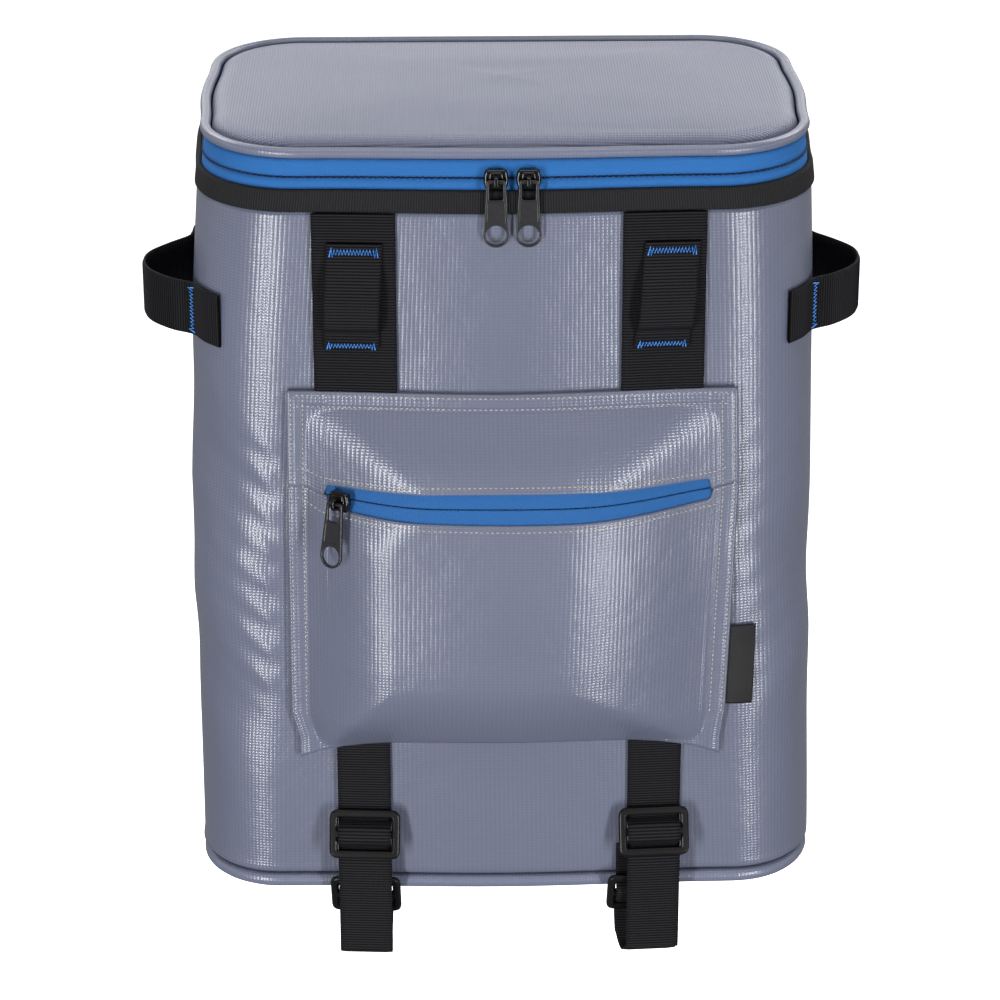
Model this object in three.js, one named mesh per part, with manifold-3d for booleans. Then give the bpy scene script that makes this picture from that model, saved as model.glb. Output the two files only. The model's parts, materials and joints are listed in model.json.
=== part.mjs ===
// A cooler backpack, in millimetres: z is up, the front faces -y, and y = 0 is the wearer's back.
import * as THREE from "three";
import { mergeVertices } from "three/addons/utils/BufferGeometryUtils.js";
import Module from "manifold-3d";

// Body
const packHeight = 372; // base to the top of the upper zip tape
const packWidth = 300;
const packDepth = 190;
const frontCorner = 46;
const backCorner = 60;
const frontBow = 7;
const sideBow = 2;
const wallThickness = 8;
const floorThickness = 9;
const basePipingSize = 7;
const baseLip = 0.5;
const hemRise = 3.3; // above the base piping, where the fabric turns in
const hemTurn = 1;
const seatGap = 0.4; // between a sewn piece and the fabric under it
const seamGap = 0.3; // between two edges that meet

// Rim, zip and lid
const bindingWidth = 10.4;
const bindingThickness = 2.2;
const bindingInset = 1.2;
const tapeLowerShown = 5.5;
const tapeUpperShown = 8.6;
const tapeThickness = 1.2;
const tapeSlit = 0.9;
const coilWidth = 3;
const coilThickness = 2.2;
const zipEndTurn = 4.4;
const lidPipingSize = 5;
const lidPipingProud = 0.6;
const lidFoamDrop = 3;
const lidRound = 10;
const lidRise = 8.2;
const lidCrown = 3.8;

// Zip sliders and pull tabs
const sliderWidth = 11.6;
const sliderHeight = 9.4;
const sliderThickness = 3.4;
const sliderCorner = 1.8;
const sliderEdge = 0.6;
const lidSliderLeft = -6;
const lidSliderRight = 8.6;
const bailThickness = 1.8;
const bailBar = 1.2;
const bailRoom = 1.5; // from the hinge axis to the inside of the bail
const bailSink = 0.8; // how deep its feet go into the slider
const bailRound = 1.6;
const bailInnerRound = 0.5;
const hingeStand = 2.2; // from the slider's face to the hinge axis
const pullThickness = 1.5;
const pullLength = 31.5;
const pullTopWidth = 8.6;
const pullLowWidth = 11.6;
const pullBar = 1.6;
const pullCorner = 1;
const pullEyeWidth = 6.2;
const pullEyeHeight = 7.6;
const pullEyeRound = 0.8;
const pullHole = 9.2;

// Webbing
const webbingThickness = 1.6;
const wideWebbing = 38;
const narrowWebbing = 25.4;
const webbingSpacing = 140; // middle to middle of the two strips on the front
const webbingShown = 85.4; // rim to the top of the pocket
const gearLoopDrop = 13.5;
const gearLoopLength = 50;
const gearLoopStand = 5.8;
const sideLoopDrop = 56; // rim to the middle of the side loops
const sideLoopReach = 21;

// Front pocket
const pocketWidth = 206.5;
const pocketBottom = 83.3; // above the base
const pocketShift = 1.5;
const pocketDepth = 23;
const pocketWall = 1.7;
const pocketSeatGap = 0.9;
const pocketHem = 8;
const pocketTopSlope = 42;
const pocketSideSlope = 38;
const pocketLowSlope = 15;
const pocketDroop = 4.5;
const pocketZipDrop = 49.6; // pocket top to the middle of its zip
const pocketZipStart = 16.75; // pocket's left edge to the end of the slot
const pocketZipStop = 11.75; // the same at its right edge
const pocketZipOpen = 15.2;
const pocketTapeWidth = 11.5;
const pocketTapeOverlap = 2;
const pocketTapeGap = 0.9;
const pocketSliderInset = 6.6;
const pocketPullTilt = 9;
const labelWidth = 12;
const labelHeight = 40.5;
const labelThickness = 0.8;
const labelRise = 16.5; // pocket bottom to the foot of the label

// Lower straps and their sliders
const strapSpacing = 139;
const strapDrop = 2.5; // pocket bottom to the top of the strap
const strapSeatGap = 0.8;
const glideWidth = 34;
const glideHeight = 24;
const glideThickness = 2.8;
const glideCorner = 3.5;
const glideSlotRound = 0.8;
const glideBar = 4;
const glideMiddleBar = 3.5;
const glideGap = 0.35;
const glideBend = 1.9; // middle of a slot to where the strap runs straight
const glidePast = 2; // the same beyond the slider's end
const frontGlideHeight = 35;
const frontGlideOut = 8.4;
const frontGlideTilt = 18;
const rearGlideHeight = -1;
const rearGlideOut = 3;
const rearGlideTilt = -20;
const frontRun = 10.9; // how far out the strap hangs in front of the wall
const loopDrop = 24.7;
const loopRadius = 6.5;
const sewnStart = 16;
const sewnEnd = 25;
const rightStrapSkew = -5;

// Back pad, shoulder straps and haul loop
const backPadThickness = 9.6;
const backPadWidth = 168;
const backPadHeight = 286;
const backPadBottom = 30;
const backPadRound = 3;
const backPadCorner = 26;
const strapPadWidth = 58;
const strapPadThickness = 10;
const strapTopSpacing = 100;
const strapLowSpacing = 194;
const strapTopDrop = 11;
const strapFall = 205;
const strapReach = 108;
const strapWebStart = 26;
const shoulderWebRun = 13;
const haulDrop = 14;
const haulWidth = 96;
const haulReach = 31;

const frontPlane = -(backPadThickness + seatGap + packDepth);
const backPlane = -(backPadThickness + seatGap);
const mountHeight = backPadBottom + backPadHeight / 2;
const coilHeight = packHeight - tapeUpperShown;
const bindingTop = coilHeight - tapeLowerShown;
const rimHeight = bindingTop - bindingWidth - seamGap;
const tapeInset = bindingInset + seamGap;
const coilInset = tapeInset + tapeThickness + seamGap;
const pocketTop = rimHeight - webbingShown;
const pocketHeight = pocketTop - pocketBottom;
const pocketZip = pocketTop - pocketZipDrop;
const pocketZipLeft = pocketShift - pocketWidth / 2 + pocketZipStart;
const pocketZipRight = pocketShift + pocketWidth / 2 - pocketZipStop;
const sidePanels = [
  { name: "left", side: -1 },
  { name: "right", side: 1 },
];

// The body from the base up: shares of packHeight, packWidth, frontBow and the two corners.
const sections = [
  { height: 0.0, width: 0.992, bow: 0.45, front: 0.86, back: 0.8, shift: -0.003 },
  { height: 0.03, width: 1.0, bow: 0.55, front: 0.87, back: 0.8, shift: -0.003 },
  { height: 0.25, width: 0.997, bow: 1.0, front: 0.93, back: 0.85, shift: -0.006 },
  { height: 0.55, width: 0.99, bow: 1.0, front: 0.98, back: 0.92, shift: -0.009 },
  { height: 0.78, width: 0.968, bow: 0.85, front: 1.0, back: 0.96, shift: -0.006 },
  { height: 0.93, width: 0.946, bow: 0.6, front: 1.0, back: 1.0, shift: -0.003 },
  { height: 1.0, width: 0.925, bow: 0.35, front: 1.0, back: 1.03, shift: -0.003 },
];

// Soft folds of the fabric: height, length and width are shares of packHeight, depth of packWidth.
const folds = [
  { side: -1, turn: 1.5, height: 0.6, length: 0.13, width: 0.05, tilt: 40, depth: -0.007 },
  { side: -1, turn: 1.5, height: 0.44, length: 0.15, width: 0.045, tilt: -35, depth: 0.006 },
  { side: -1, turn: 1.4, height: 0.28, length: 0.13, width: 0.05, tilt: 35, depth: -0.007 },
  { side: 1, turn: 1.55, height: 0.46, length: 0.15, width: 0.05, tilt: -40, depth: -0.006 },
  { side: 1, turn: 1.5, height: 0.3, length: 0.13, width: 0.05, tilt: 35, depth: 0.005 },
  { side: -1, turn: 2.5, height: 0.45, length: 0.3, width: 0.1, tilt: 80, depth: -0.012 },
  { side: 1, turn: 2.5, height: 0.45, length: 0.3, width: 0.1, tilt: 100, depth: -0.012 },
];

// Steps round half the pack: half the front, front corner, side, back corner and half the back.
const turnSteps = [4, 6, 5, 5, 2];
const turnLength = 0.42 * packDepth;

const { clamp, degToRad, lerp, radToDeg } = THREE.MathUtils;

// Reads a column of a table between its rows.
function read(table, key, column, at) {
  const next = table.findIndex((row) => row[key] >= at);
  if (next < 0) return table[table.length - 1][column];
  if (next === 0) return table[0][column];
  const low = table[next - 1];
  const high = table[next];
  return lerp(low[column], high[column], (at - low[key]) / (high[key] - low[key]));
}

function planAt(height) {
  const share = (column) => read(sections, "height", column, height / packHeight);
  return {
    half: (packWidth / 2) * share("width"),
    bow: frontBow * share("bow"),
    front: frontCorner * share("front"),
    back: backCorner * share("back"),
    shift: packWidth * share("shift"),
  };
}

function foldDepth(side, turn, height) {
  let depth = 0;
  for (const fold of folds.filter((each) => each.side === side)) {
    const across = (turn - fold.turn) * turnLength;
    const up = height - fold.height * packHeight;
    const tilt = degToRad(fold.tilt);
    const along = (across * Math.cos(tilt) + up * Math.sin(tilt)) / (fold.length * packHeight);
    const off = (up * Math.cos(tilt) - across * Math.sin(tilt)) / (fold.width * packHeight);
    depth += fold.depth * packWidth * Math.exp(-along * along - off * off);
  }
  return depth;
}

// The right half of the plan: turn 0 is the middle of the front and turn 5 the middle of the back.
function planPoint(plan, turn) {
  const flat = plan.half - plan.front;
  const run = packDepth - plan.front - plan.back;
  const quarter = (Math.PI / 2) * (turn - Math.floor(Math.min(turn, 4)));
  const sin = Math.sin(quarter);
  const cos = Math.cos(quarter);
  if (turn < 1) {
    const slope = plan.bow * (Math.PI / 2) * Math.sin(2 * quarter);
    return { x: flat * turn, y: frontPlane - plan.bow * cos * cos, nx: slope, ny: -flat };
  }
  if (turn < 2) {
    const y = frontPlane + plan.front * (1 - cos);
    return { x: flat + plan.front * sin, y, nx: sin, ny: -cos };
  }
  if (turn < 3) {
    const bulge = sideBow * Math.sin(2 * quarter) ** 2;
    const slope = sideBow * Math.PI * Math.sin(4 * quarter);
    return { x: plan.half + bulge, y: frontPlane + plan.front + run * (turn - 2), nx: run, ny: -slope };
  }
  if (turn < 4) {
    const x = plan.half - plan.back * (1 - cos);
    return { x, y: backPlane - plan.back * (1 - sin), nx: cos, ny: sin };
  }
  return { x: (plan.half - plan.back) * (5 - turn), y: backPlane, nx: 0, ny: 1 };
}

// A point on the fabric of the body, or out in front of it.
function skin(side, turn, height, out = 0) {
  const plan = planAt(height);
  const point = planPoint(plan, turn);
  const away = (out + foldDepth(side, turn, height)) / Math.hypot(point.nx, point.ny);
  const x = plan.shift + side * (point.x + point.nx * away);
  return new THREE.Vector3(x, point.y + point.ny * away, height);
}

// The same on the front, found from x.
function onFront(x, height, out = 0) {
  const plan = planAt(height);
  const side = x < plan.shift ? -1 : 1;
  const flat = plan.half - plan.front;
  const across = Math.abs(x - plan.shift);
  if (across <= flat) return skin(side, across / flat, height, out);
  const angle = Math.asin(Math.min((across - flat) / plan.front, 1));
  return skin(side, 1 + angle / (Math.PI / 2), height, out);
}

// Stations round the pack from the back over the left side and the front to the back again.
function stations(until = 5) {
  const turns = turnSteps.flatMap((count, part) =>
    Array.from({ length: count }, (_, i) => part + i / count),
  );
  const half = [...turns.filter((turn) => turn < until), until];
  const left = half.slice(1).map((turn) => ({ side: -1, turn }));
  return [...left.reverse(), ...half.map((turn) => ({ side: 1, turn }))];
}
const ring = stations().slice(1);

function geometryOf(points, faces) {
  let volume = 0;
  for (const [a, b, c] of faces) volume += points[a].dot(points[b].clone().cross(points[c]));
  const turned = volume < 0 ? faces.map(([a, b, c]) => [a, c, b]) : faces;
  const geometry = new THREE.BufferGeometry().setFromPoints(points);
  geometry.setIndex(turned.flat());
  geometry.computeVertexNormals();
  return geometry;
}

// Joins rows of points into one closed body: each row is a closed outline. The first and last rows
// are joined to each other, or closed by strips across them, or by a fan round their middle.
function loft(rows, ends = "strips") {
  const count = rows[0].length;
  const points = rows.flat();
  const faces = [];
  const quad = (a, b, c, d) => faces.push([a, b, c], [a, c, d]);
  rows.slice(ends === "joined" ? 0 : 1).forEach((_, i) => {
    const low = i * count;
    const high = ((i + 1) % rows.length) * count;
    for (let k = 0; k < count; k++) {
      const next = (k + 1) % count;
      quad(low + k, low + next, high + next, high + k);
    }
  });
  const top = (rows.length - 1) * count;
  for (let k = 0; k < count / 2 - 1 && ends === "strips"; k++) {
    const far = count - 1 - k;
    quad(k, far, far - 1, k + 1);
    quad(top + k, top + k + 1, top + far - 1, top + far);
  }
  for (let k = 0; k < count && ends === "fans"; k++) {
    const next = (k + 1) % count;
    faces.push([points.length, next, k], [points.length + 1, top + k, top + next]);
  }
  if (ends === "fans") points.push(middleOf(rows[0]), middleOf(rows.at(-1)));
  return geometryOf(points, faces);
}

function middleOf(points) {
  const sum = points.reduce((total, point) => total.add(point), new THREE.Vector3());
  return sum.divideScalar(points.length);
}

// A ring or a C round the pack, with its section given as distances out and heights.
function band(section, round = ring) {
  const rows = round.map(({ side, turn }) =>
    section.map(([out, height]) => skin(side, turn, height, out)),
  );
  return loft(rows, round === ring ? "joined" : "strips");
}

function boxSection(inner, outer, low, high) {
  return [
    [inner, low],
    [outer, low],
    [outer, high],
    [inner, high],
  ];
}

function roundSection(out, height, size, sides = 8) {
  return Array.from({ length: sides }, (_, i) => {
    const angle = (2 * Math.PI * (i + 0.5)) / sides;
    return [out + (size / 2) * Math.cos(angle), height + (size / 2) * Math.sin(angle)];
  });
}

// A thin layer between an inner and an outer face, over two lists of places.
function sheet(across, down, place) {
  return loft(
    down.map((v) => {
      const outer = across.map((u) => place(u, v, 1));
      const inner = across.map((u) => place(u, v, 0));
      return [...outer, ...inner.reverse()];
    }),
  );
}

function spread(from, to, count) {
  return Array.from({ length: count + 1 }, (_, i) => lerp(from, to, i / count));
}

// A strap along a line of points: its section is turned square to the line.
const flatSection = [
  [-0.5, -0.5],
  [0.5, -0.5],
  [0.5, 0.5],
  [-0.5, 0.5],
];
const paddedSection = [
  [-0.5, -0.2],
  [-0.4, -0.5],
  [0.4, -0.5],
  [0.5, -0.2],
  [0.5, 0.2],
  [0.4, 0.5],
  [-0.4, 0.5],
  [-0.5, 0.2],
];
function ribbon(points, across, width, thickness, section = flatSection) {
  const rows = points.map((point, i) => {
    const from = points[Math.max(i - 1, 0)];
    const to = points[Math.min(i + 1, points.length - 1)];
    const before = point.clone().sub(from).normalize();
    const after = to.clone().sub(point).normalize();
    const along = before.add(after).normalize();
    const normal = along.clone().cross(across).normalize();
    const sideways = normal.clone().cross(along);
    return section.map(([u, v]) =>
      point.clone().addScaledVector(sideways, u * width).addScaledVector(normal, v * thickness),
    );
  });
  return loft(rows);
}

// An outline with round corners.
function rounded(corners, radius) {
  const outline = new THREE.Shape();
  corners.forEach(([x, y], i) => {
    const corner = new THREE.Vector2(x, y);
    const [before, after] = [corners.length - 1, 1].map((step) => {
      const other = new THREE.Vector2(...corners[(i + step) % corners.length]);
      return other.sub(corner).setLength(radius).add(corner);
    });
    if (i === 0) outline.moveTo(before.x, before.y);
    else outline.lineTo(before.x, before.y);
    outline.quadraticCurveTo(x, y, after.x, after.y);
  });
  outline.closePath();
  return outline;
}

function rectangle(left, right, low, high, radius) {
  const corners = [
    [left, low],
    [right, low],
    [right, high],
    [left, high],
  ];
  return rounded(corners, radius);
}

// A flat plate in the x-z plane with y = 0 in the middle of its thickness.
function plate(outline, holes, thickness, edge = 0) {
  outline.holes.push(...holes);
  const made = new THREE.ExtrudeGeometry(outline, {
    depth: thickness - 2 * edge,
    bevelEnabled: edge > 0,
    bevelThickness: edge,
    bevelSize: edge,
    bevelOffset: -edge,
    bevelSegments: 1,
    curveSegments: 3,
  });
  return made.translate(0, 0, edge - thickness / 2).rotateX(Math.PI / 2);
}

const wasm = await Module();
wasm.setup();

function toSolid(geometry) {
  const bare = geometry.clone();
  bare.deleteAttribute("normal");
  bare.deleteAttribute("uv");
  const merged = mergeVertices(bare, 1e-4);
  const vertProperties = merged.attributes.position.array;
  const triVerts = new Uint32Array(merged.index.array);
  return new wasm.Manifold(new wasm.Mesh({ numProp: 3, vertProperties, triVerts }));
}

function toGeometry(solid) {
  const { vertProperties, triVerts } = solid.getMesh();
  const geometry = new THREE.BufferGeometry();
  geometry.setAttribute("position", new THREE.BufferAttribute(vertProperties, 3));
  geometry.setIndex(new THREE.BufferAttribute(triVerts, 1));
  geometry.computeVertexNormals();
  return geometry;
}

const finishes = {
  tarpaulin: { color: "#7b8197", roughness: 0.38, metalness: 0 },
  piping: { color: "#7e859c", roughness: 0.4, metalness: 0 },
  zipTape: { color: "#3272b6", roughness: 0.8, metalness: 0 },
  coil: { color: "#24588f", roughness: 0.45, metalness: 0 },
  webbing: { color: "#212025", roughness: 0.85, metalness: 0 },
  binding: { color: "#2a292e", roughness: 0.9, metalness: 0 },
  gloss: { color: "#17171a", roughness: 0.25, metalness: 0.1 },
  label: { color: "#141416", roughness: 0.7, metalness: 0 },
  padding: { color: "#2c2d33", roughness: 0.9, metalness: 0 },
};

const pack = new THREE.Group();
pack.position.z = -mountHeight;

function add(name, geometry, finish, parent = pack) {
  const mesh = new THREE.Mesh(geometry, new THREE.MeshStandardMaterial(finishes[finish]));
  mesh.name = name;
  parent.add(mesh);
  return mesh;
}

// The insulated body: coated fabric over foam, open at the top, with a ledge for the base piping.
function bodyShell() {
  const rebate = basePipingSize + seatGap;
  const shoulder = baseLip + basePipingSize - seatGap / 2;
  const turned = shoulder + seatGap;
  const rows = [
    [-rebate, baseLip],
    [-rebate, shoulder + seatGap / 2],
    [-hemTurn, turned],
    ...spread(turned + hemRise, rimHeight, 13).map((height) => [0, height]),
    ...spread(rimHeight, floorThickness, 2).map((height) => [-wallThickness, height]),
  ];
  const outlines = rows.map(([out, height]) =>
    ring.map(({ side, turn }) => skin(side, turn, height, out)),
  );
  add("body_shell", loft(outlines, "fans"), "tarpaulin");
  const pipingOut = seatGap / 2 - basePipingSize / 2;
  const piping = roundSection(pipingOut, basePipingSize / 2, basePipingSize);
  add("base_piping", band(piping), "piping");
}

// Black binding on the rim, two zip tapes with the coil behind them, and the hinge at the back.
function rimAndZip() {
  const bindingOut = bindingThickness - bindingInset;
  const binding = boxSection(-bindingInset, bindingOut, rimHeight + seamGap, bindingTop);
  add("rim_binding", band(binding), "binding");
  const open = stations(zipEndTurn);
  const inner = -(tapeInset + tapeThickness);
  const lower = boxSection(inner, -tapeInset, rimHeight + seamGap, coilHeight - tapeSlit / 2);
  const upper = boxSection(inner, -tapeInset, coilHeight + tapeSlit / 2, packHeight - seamGap);
  add("zip_tape_lower", band(lower, open), "zipTape");
  add("zip_tape_upper", band(upper, open), "zipTape");
  const low = coilHeight - coilWidth / 2;
  const coil = boxSection(-coilInset - coilThickness, -coilInset, low, low + coilWidth);
  add("zip_coil", band(coil, open), "coil");
  const hinge = sheet([-1, 1], [rimHeight + seamGap, packHeight - seamGap], (side, height, face) => {
    const end = skin(side, zipEndTurn, height, inner + face * tapeThickness);
    end.x -= side * seamGap;
    return end;
  });
  add("lid_hinge", hinge, "tarpaulin");
}

// The lid: foam under coated fabric, domed, with piping sewn round its edge.
const lidEdge = [
  { inset: 0, rise: -lidFoamDrop / lidRise },
  { inset: 0, rise: 0.3 },
  { inset: 0.08, rise: 0.62 },
  { inset: 0.32, rise: 0.88 },
  { inset: 1, rise: 1 },
];
const lidDome = [
  { share: 0.82, crown: 0.45 },
  { share: 0.58, crown: 0.8 },
  { share: 0.3, crown: 0.97 },
  { share: 0.08, crown: 1 },
];
function lid() {
  const pipingOut = lidPipingProud - lidPipingSize / 2;
  const pipingHeight = packHeight + lidPipingSize / 2;
  add("lid_piping", band(roundSection(pipingOut, pipingHeight, lidPipingSize)), "piping");
  const edgeOut = pipingOut - lidPipingSize / 2 - seamGap;
  const outline = (inset, height) =>
    ring.map(({ side, turn }) => skin(side, turn, packHeight, edgeOut - inset).setZ(height));
  const rows = lidEdge.map(({ inset, rise }) => outline(inset * lidRound, packHeight + rise * lidRise));
  const middle = new THREE.Vector3(planAt(packHeight).shift, (frontPlane + backPlane) / 2, 0);
  for (const { share, crown } of lidDome) {
    const height = packHeight + lidRise + crown * lidCrown;
    rows.push(outline(lidRound, 0).map((point) => point.lerp(middle, 1 - share).setZ(height)));
  }
  add("lid_panel", loft(rows, "fans"), "tarpaulin");
}

// A zip slider with the bail that holds its pull: y = 0 is the face of the tape behind it.
const hingeOut = seamGap + sliderThickness + hingeStand;
function zipSlider() {
  const half = sliderWidth / 2;
  const tall = sliderHeight / 2;
  const corners = [
    [-0.8 * half, -tall],
    [0.8 * half, -tall],
    [half, 0],
    [0.85 * half, tall],
    [-0.85 * half, tall],
    [-half, 0],
  ];
  const body = plate(rounded(corners, sliderCorner), [], sliderThickness, sliderEdge);
  body.translate(0, -seamGap - sliderThickness / 2, 0);
  const face = seamGap + sliderThickness;
  const end = hingeOut + bailRoom + bailBar;
  const reach = bailRoom + bailBar;
  const outline = rectangle(face - bailSink, end, -reach, reach, bailRound);
  const room = rectangle(face, end - bailBar, -bailRoom, bailRoom, bailInnerRound);
  const bail = plate(outline, [room], bailThickness).rotateZ(-Math.PI / 2);
  return toGeometry(toSolid(body).add(toSolid(bail)));
}

// A pull tab: z = 0 is the hinge axis, in the middle of its top bar.
function pullTab() {
  const top = pullTopWidth / 2;
  const low = pullLowWidth / 2;
  const bar = pullBar / 2;
  const lowHeight = bar - pullLength + low;
  const outline = new THREE.Shape();
  outline.moveTo(-top + pullCorner, bar);
  outline.lineTo(top - pullCorner, bar);
  outline.quadraticCurveTo(top, bar, top, bar - pullCorner);
  outline.lineTo(low, lowHeight);
  outline.absarc(0, lowHeight, low, 0, -Math.PI, true);
  outline.lineTo(-top, bar - pullCorner);
  outline.quadraticCurveTo(-top, bar, -top + pullCorner, bar);
  const eyeHalf = pullEyeWidth / 2;
  const eye = rectangle(-eyeHalf, eyeHalf, -bar - pullEyeHeight, -bar, pullEyeRound);
  const hole = new THREE.Path().absarc(0, lowHeight, pullHole / 2, 0, 2 * Math.PI);
  return plate(outline, [eye, hole], pullThickness);
}

// A slider and its pull on a tape: the pull hangs in a group of its own, on the hinge axis.
function zipPull(name, place, yaw, tilt) {
  const mount = new THREE.Group();
  mount.position.copy(place);
  mount.rotation.z = yaw;
  pack.add(mount);
  add(name.slider, zipSlider(), "gloss", mount);
  const hinge = new THREE.Group();
  hinge.position.y = -hingeOut;
  hinge.rotation.x = -degToRad(tilt);
  mount.add(hinge);
  add(name.pull, pullTab(), "gloss", hinge);
}

function lidPulls() {
  for (const [word, x] of [
    ["left", lidSliderLeft],
    ["right", lidSliderRight],
  ]) {
    const name = { slider: `lid_slider_${word}`, pull: `lid_pull_${word}` };
    zipPull(name, onFront(x, coilHeight, -tapeInset), 0, 0);
  }
}

// Two wide strips of webbing down the front, with a narrow gear loop tacked on each.
const gearLoops = {
  left: { top: 0, low: 0 },
  right: { top: 3.5, low: -1 },
};
const gearLoopRoute = [
  { down: 0, stand: 0 },
  { down: 0.13, stand: 0 },
  { down: 0.22, stand: 0.5 },
  { down: 0.34, stand: 0.9 },
  { down: 0.5, stand: 1 },
  { down: 0.66, stand: 0.9 },
  { down: 0.78, stand: 0.5 },
  { down: 0.87, stand: 0 },
  { down: 1, stand: 0 },
];
function frontWebbing() {
  const seat = seatGap + webbingThickness + seamGap;
  for (const { name, side } of sidePanels) {
    const middle = (side * webbingSpacing) / 2;
    const across = spread(middle - wideWebbing / 2, middle + wideWebbing / 2, 4);
    const down = spread(pocketTop + seamGap, rimHeight, 6);
    const strip = (x, height, face) => onFront(x, height, seatGap + face * webbingThickness);
    add(`front_webbing_${name}`, sheet(across, down, strip), "webbing");
    const skew = gearLoops[name];
    const loop = (share, row, face) => {
      const x = middle + lerp(skew.top, skew.low, row.down) + share * narrowWebbing;
      const height = rimHeight - gearLoopDrop - row.down * gearLoopLength;
      return onFront(x, height, seat + row.stand * gearLoopStand + face * webbingThickness);
    };
    add(`gear_loop_${name}`, sheet(spread(-0.5, 0.5, 3), gearLoopRoute, loop), "webbing");
  }
}

// The pocket's edges from its top down, as shares of pocketHeight and pocketWidth.
const pocketEdges = [
  { down: 0, left: -0.5, right: 0.5 },
  { down: 0.29, left: -0.504, right: 0.508 },
  { down: 0.92, left: -0.508, right: 0.49 },
  { down: 1, left: -0.49, right: 0.48 },
];
// How full the pocket stands from its top down.
const pocketLift = [
  { down: 0, lift: 0.7 },
  { down: 0.28, lift: 0.78 },
  { down: 0.5, lift: 0.9 },
  { down: 0.74, lift: 1 },
  { down: 1, lift: 1 },
];
function pocketEdge(side, height) {
  const column = side < 0 ? "left" : "right";
  const down = (pocketTop - height) / pocketHeight;
  return pocketShift + pocketWidth * read(pocketEdges, "down", column, down);
}
function pocketLow(x) {
  return pocketBottom - pocketDroop * Math.abs((2 * (x - pocketShift)) / pocketWidth) ** 3;
}
function pocketBulge(x, height) {
  const near = (distance, slope) => 1 - clamp((distance - pocketHem) / slope, 0, 1);
  const side = Math.min(x - pocketEdge(-1, height), pocketEdge(1, height) - x);
  const sideways = near(side, pocketSideSlope);
  const up = near(pocketTop - height, pocketTopSlope);
  const down = near(height - pocketLow(x) + pocketHem, pocketLowSlope);
  const full = 1 - Math.min(Math.cbrt(sideways ** 3 + up ** 3 + down ** 3), 1);
  const lift = read(pocketLift, "down", "lift", (pocketTop - height) / pocketHeight);
  return pocketDepth * lift * Math.sin((Math.PI / 2) * full);
}
function pocketFace(x, height) {
  const point = onFront(x, height, pocketSeatGap + pocketWall);
  point.x = x;
  point.y -= pocketBulge(x, height);
  return point;
}
// A point under the pocket's outer face, measured square to it.
function pocketSkin(x, height, under = 0) {
  const step = 0.5;
  const right = pocketFace(x + step, height).sub(pocketFace(x - step, height));
  const up = pocketFace(x, height + step).sub(pocketFace(x, height - step));
  const inward = up.cross(right).normalize();
  return pocketFace(x, height).addScaledVector(inward, under);
}

// Columns and rows of the pocket, close together where it bends.
const pocketColumns = [0, 0.02, 0.04, 0.07, 0.11, 0.16, 0.22, 0.3, 0.4, 0.5];
const pocketRows = [0, 0.025, 0.05, 0.1, 0.16, 0.22, 0.28, 0.37, 0.48, 0.6, 0.72, 0.82, 0.88];
const pocketLowRows = [0.915, 0.94, 0.96, 0.98, 1];
// The slot's height at its ends and at its middle's control point, as shares of pocketZipOpen.
const slotEnd = 0.7;
const slotMiddle = 1.3;
function frontPocket() {
  const across = [...pocketColumns, ...pocketColumns.slice(0, -1).reverse().map((u) => 1 - u)];
  const down = [...pocketRows, ...pocketLowRows];
  const place = (u, v, face) => {
    const rough = lerp(pocketTop, pocketBottom, v);
    const x = lerp(pocketEdge(-1, rough), pocketEdge(1, rough), u);
    return pocketSkin(x, lerp(pocketTop, pocketLow(x), v), (1 - face) * pocketWall);
  };
  const middle = (pocketZipLeft + pocketZipRight) / 2;
  const end = (slotEnd * pocketZipOpen) / 2;
  const bow = (slotMiddle * pocketZipOpen) / 2;
  const slot = new THREE.Shape();
  slot.moveTo(pocketZipLeft, -end);
  slot.quadraticCurveTo(middle, -bow, pocketZipRight, -end);
  slot.lineTo(pocketZipRight, end);
  slot.quadraticCurveTo(middle, bow, pocketZipLeft, end);
  slot.closePath();
  const cutter = plate(slot, [], 2 * packDepth).translate(0, frontPlane, pocketZip);
  const wall = toSolid(sheet(across, down, place)).subtract(toSolid(cutter));
  add("front_pocket", toGeometry(wall), "tarpaulin");
}

// The pocket's zip: two tapes sewn behind the slot, with the coil behind them.
function pocketZipper() {
  const past = pocketTapeOverlap;
  const columns = spread(pocketZipLeft - past, pocketZipRight + past, 14);
  const layer = (under, thickness) => (x, height, face) =>
    pocketSkin(x, height, under + (1 - face) * thickness);
  const underTape = pocketWall + pocketTapeGap;
  const slit = tapeSlit / 2;
  const upper = [pocketZip + slit, pocketZip + pocketTapeWidth / 2, pocketZip + pocketTapeWidth];
  const lower = upper.map((height) => 2 * pocketZip - height);
  add("pocket_tape_upper", sheet(columns, upper, layer(underTape, tapeThickness)), "zipTape");
  add("pocket_tape_lower", sheet(columns, lower, layer(underTape, tapeThickness)), "zipTape");
  const coil = [pocketZip - coilWidth / 2, pocketZip + coilWidth / 2];
  const underCoil = underTape + tapeThickness + seamGap;
  const coilColumns = spread(pocketZipLeft, pocketZipRight, 14);
  add("pocket_coil", sheet(coilColumns, coil, layer(underCoil, coilThickness)), "coil");
  const x = pocketZipLeft + pocketSliderInset;
  const ahead = pocketSkin(x + 1, pocketZip, underTape);
  const slope = ahead.sub(pocketSkin(x - 1, pocketZip, underTape));
  const yaw = Math.atan2(slope.y, slope.x);
  const name = { slider: "pocket_slider", pull: "pocket_pull" };
  zipPull(name, pocketSkin(x, pocketZip, underTape), yaw, pocketPullTilt);
}

// A plain woven label sewn into the pocket's right-hand seam.
function label() {
  const low = pocketBottom + labelRise;
  const place = (share, height, face) => {
    const x = pocketEdge(1, height) + seamGap + share * labelWidth;
    return onFront(x, height, seatGap + face * labelThickness);
  };
  const tag = sheet(spread(0, 1, 3), spread(low, low + labelHeight, 3), place);
  add("label_tag", tag, "label");
}

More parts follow.
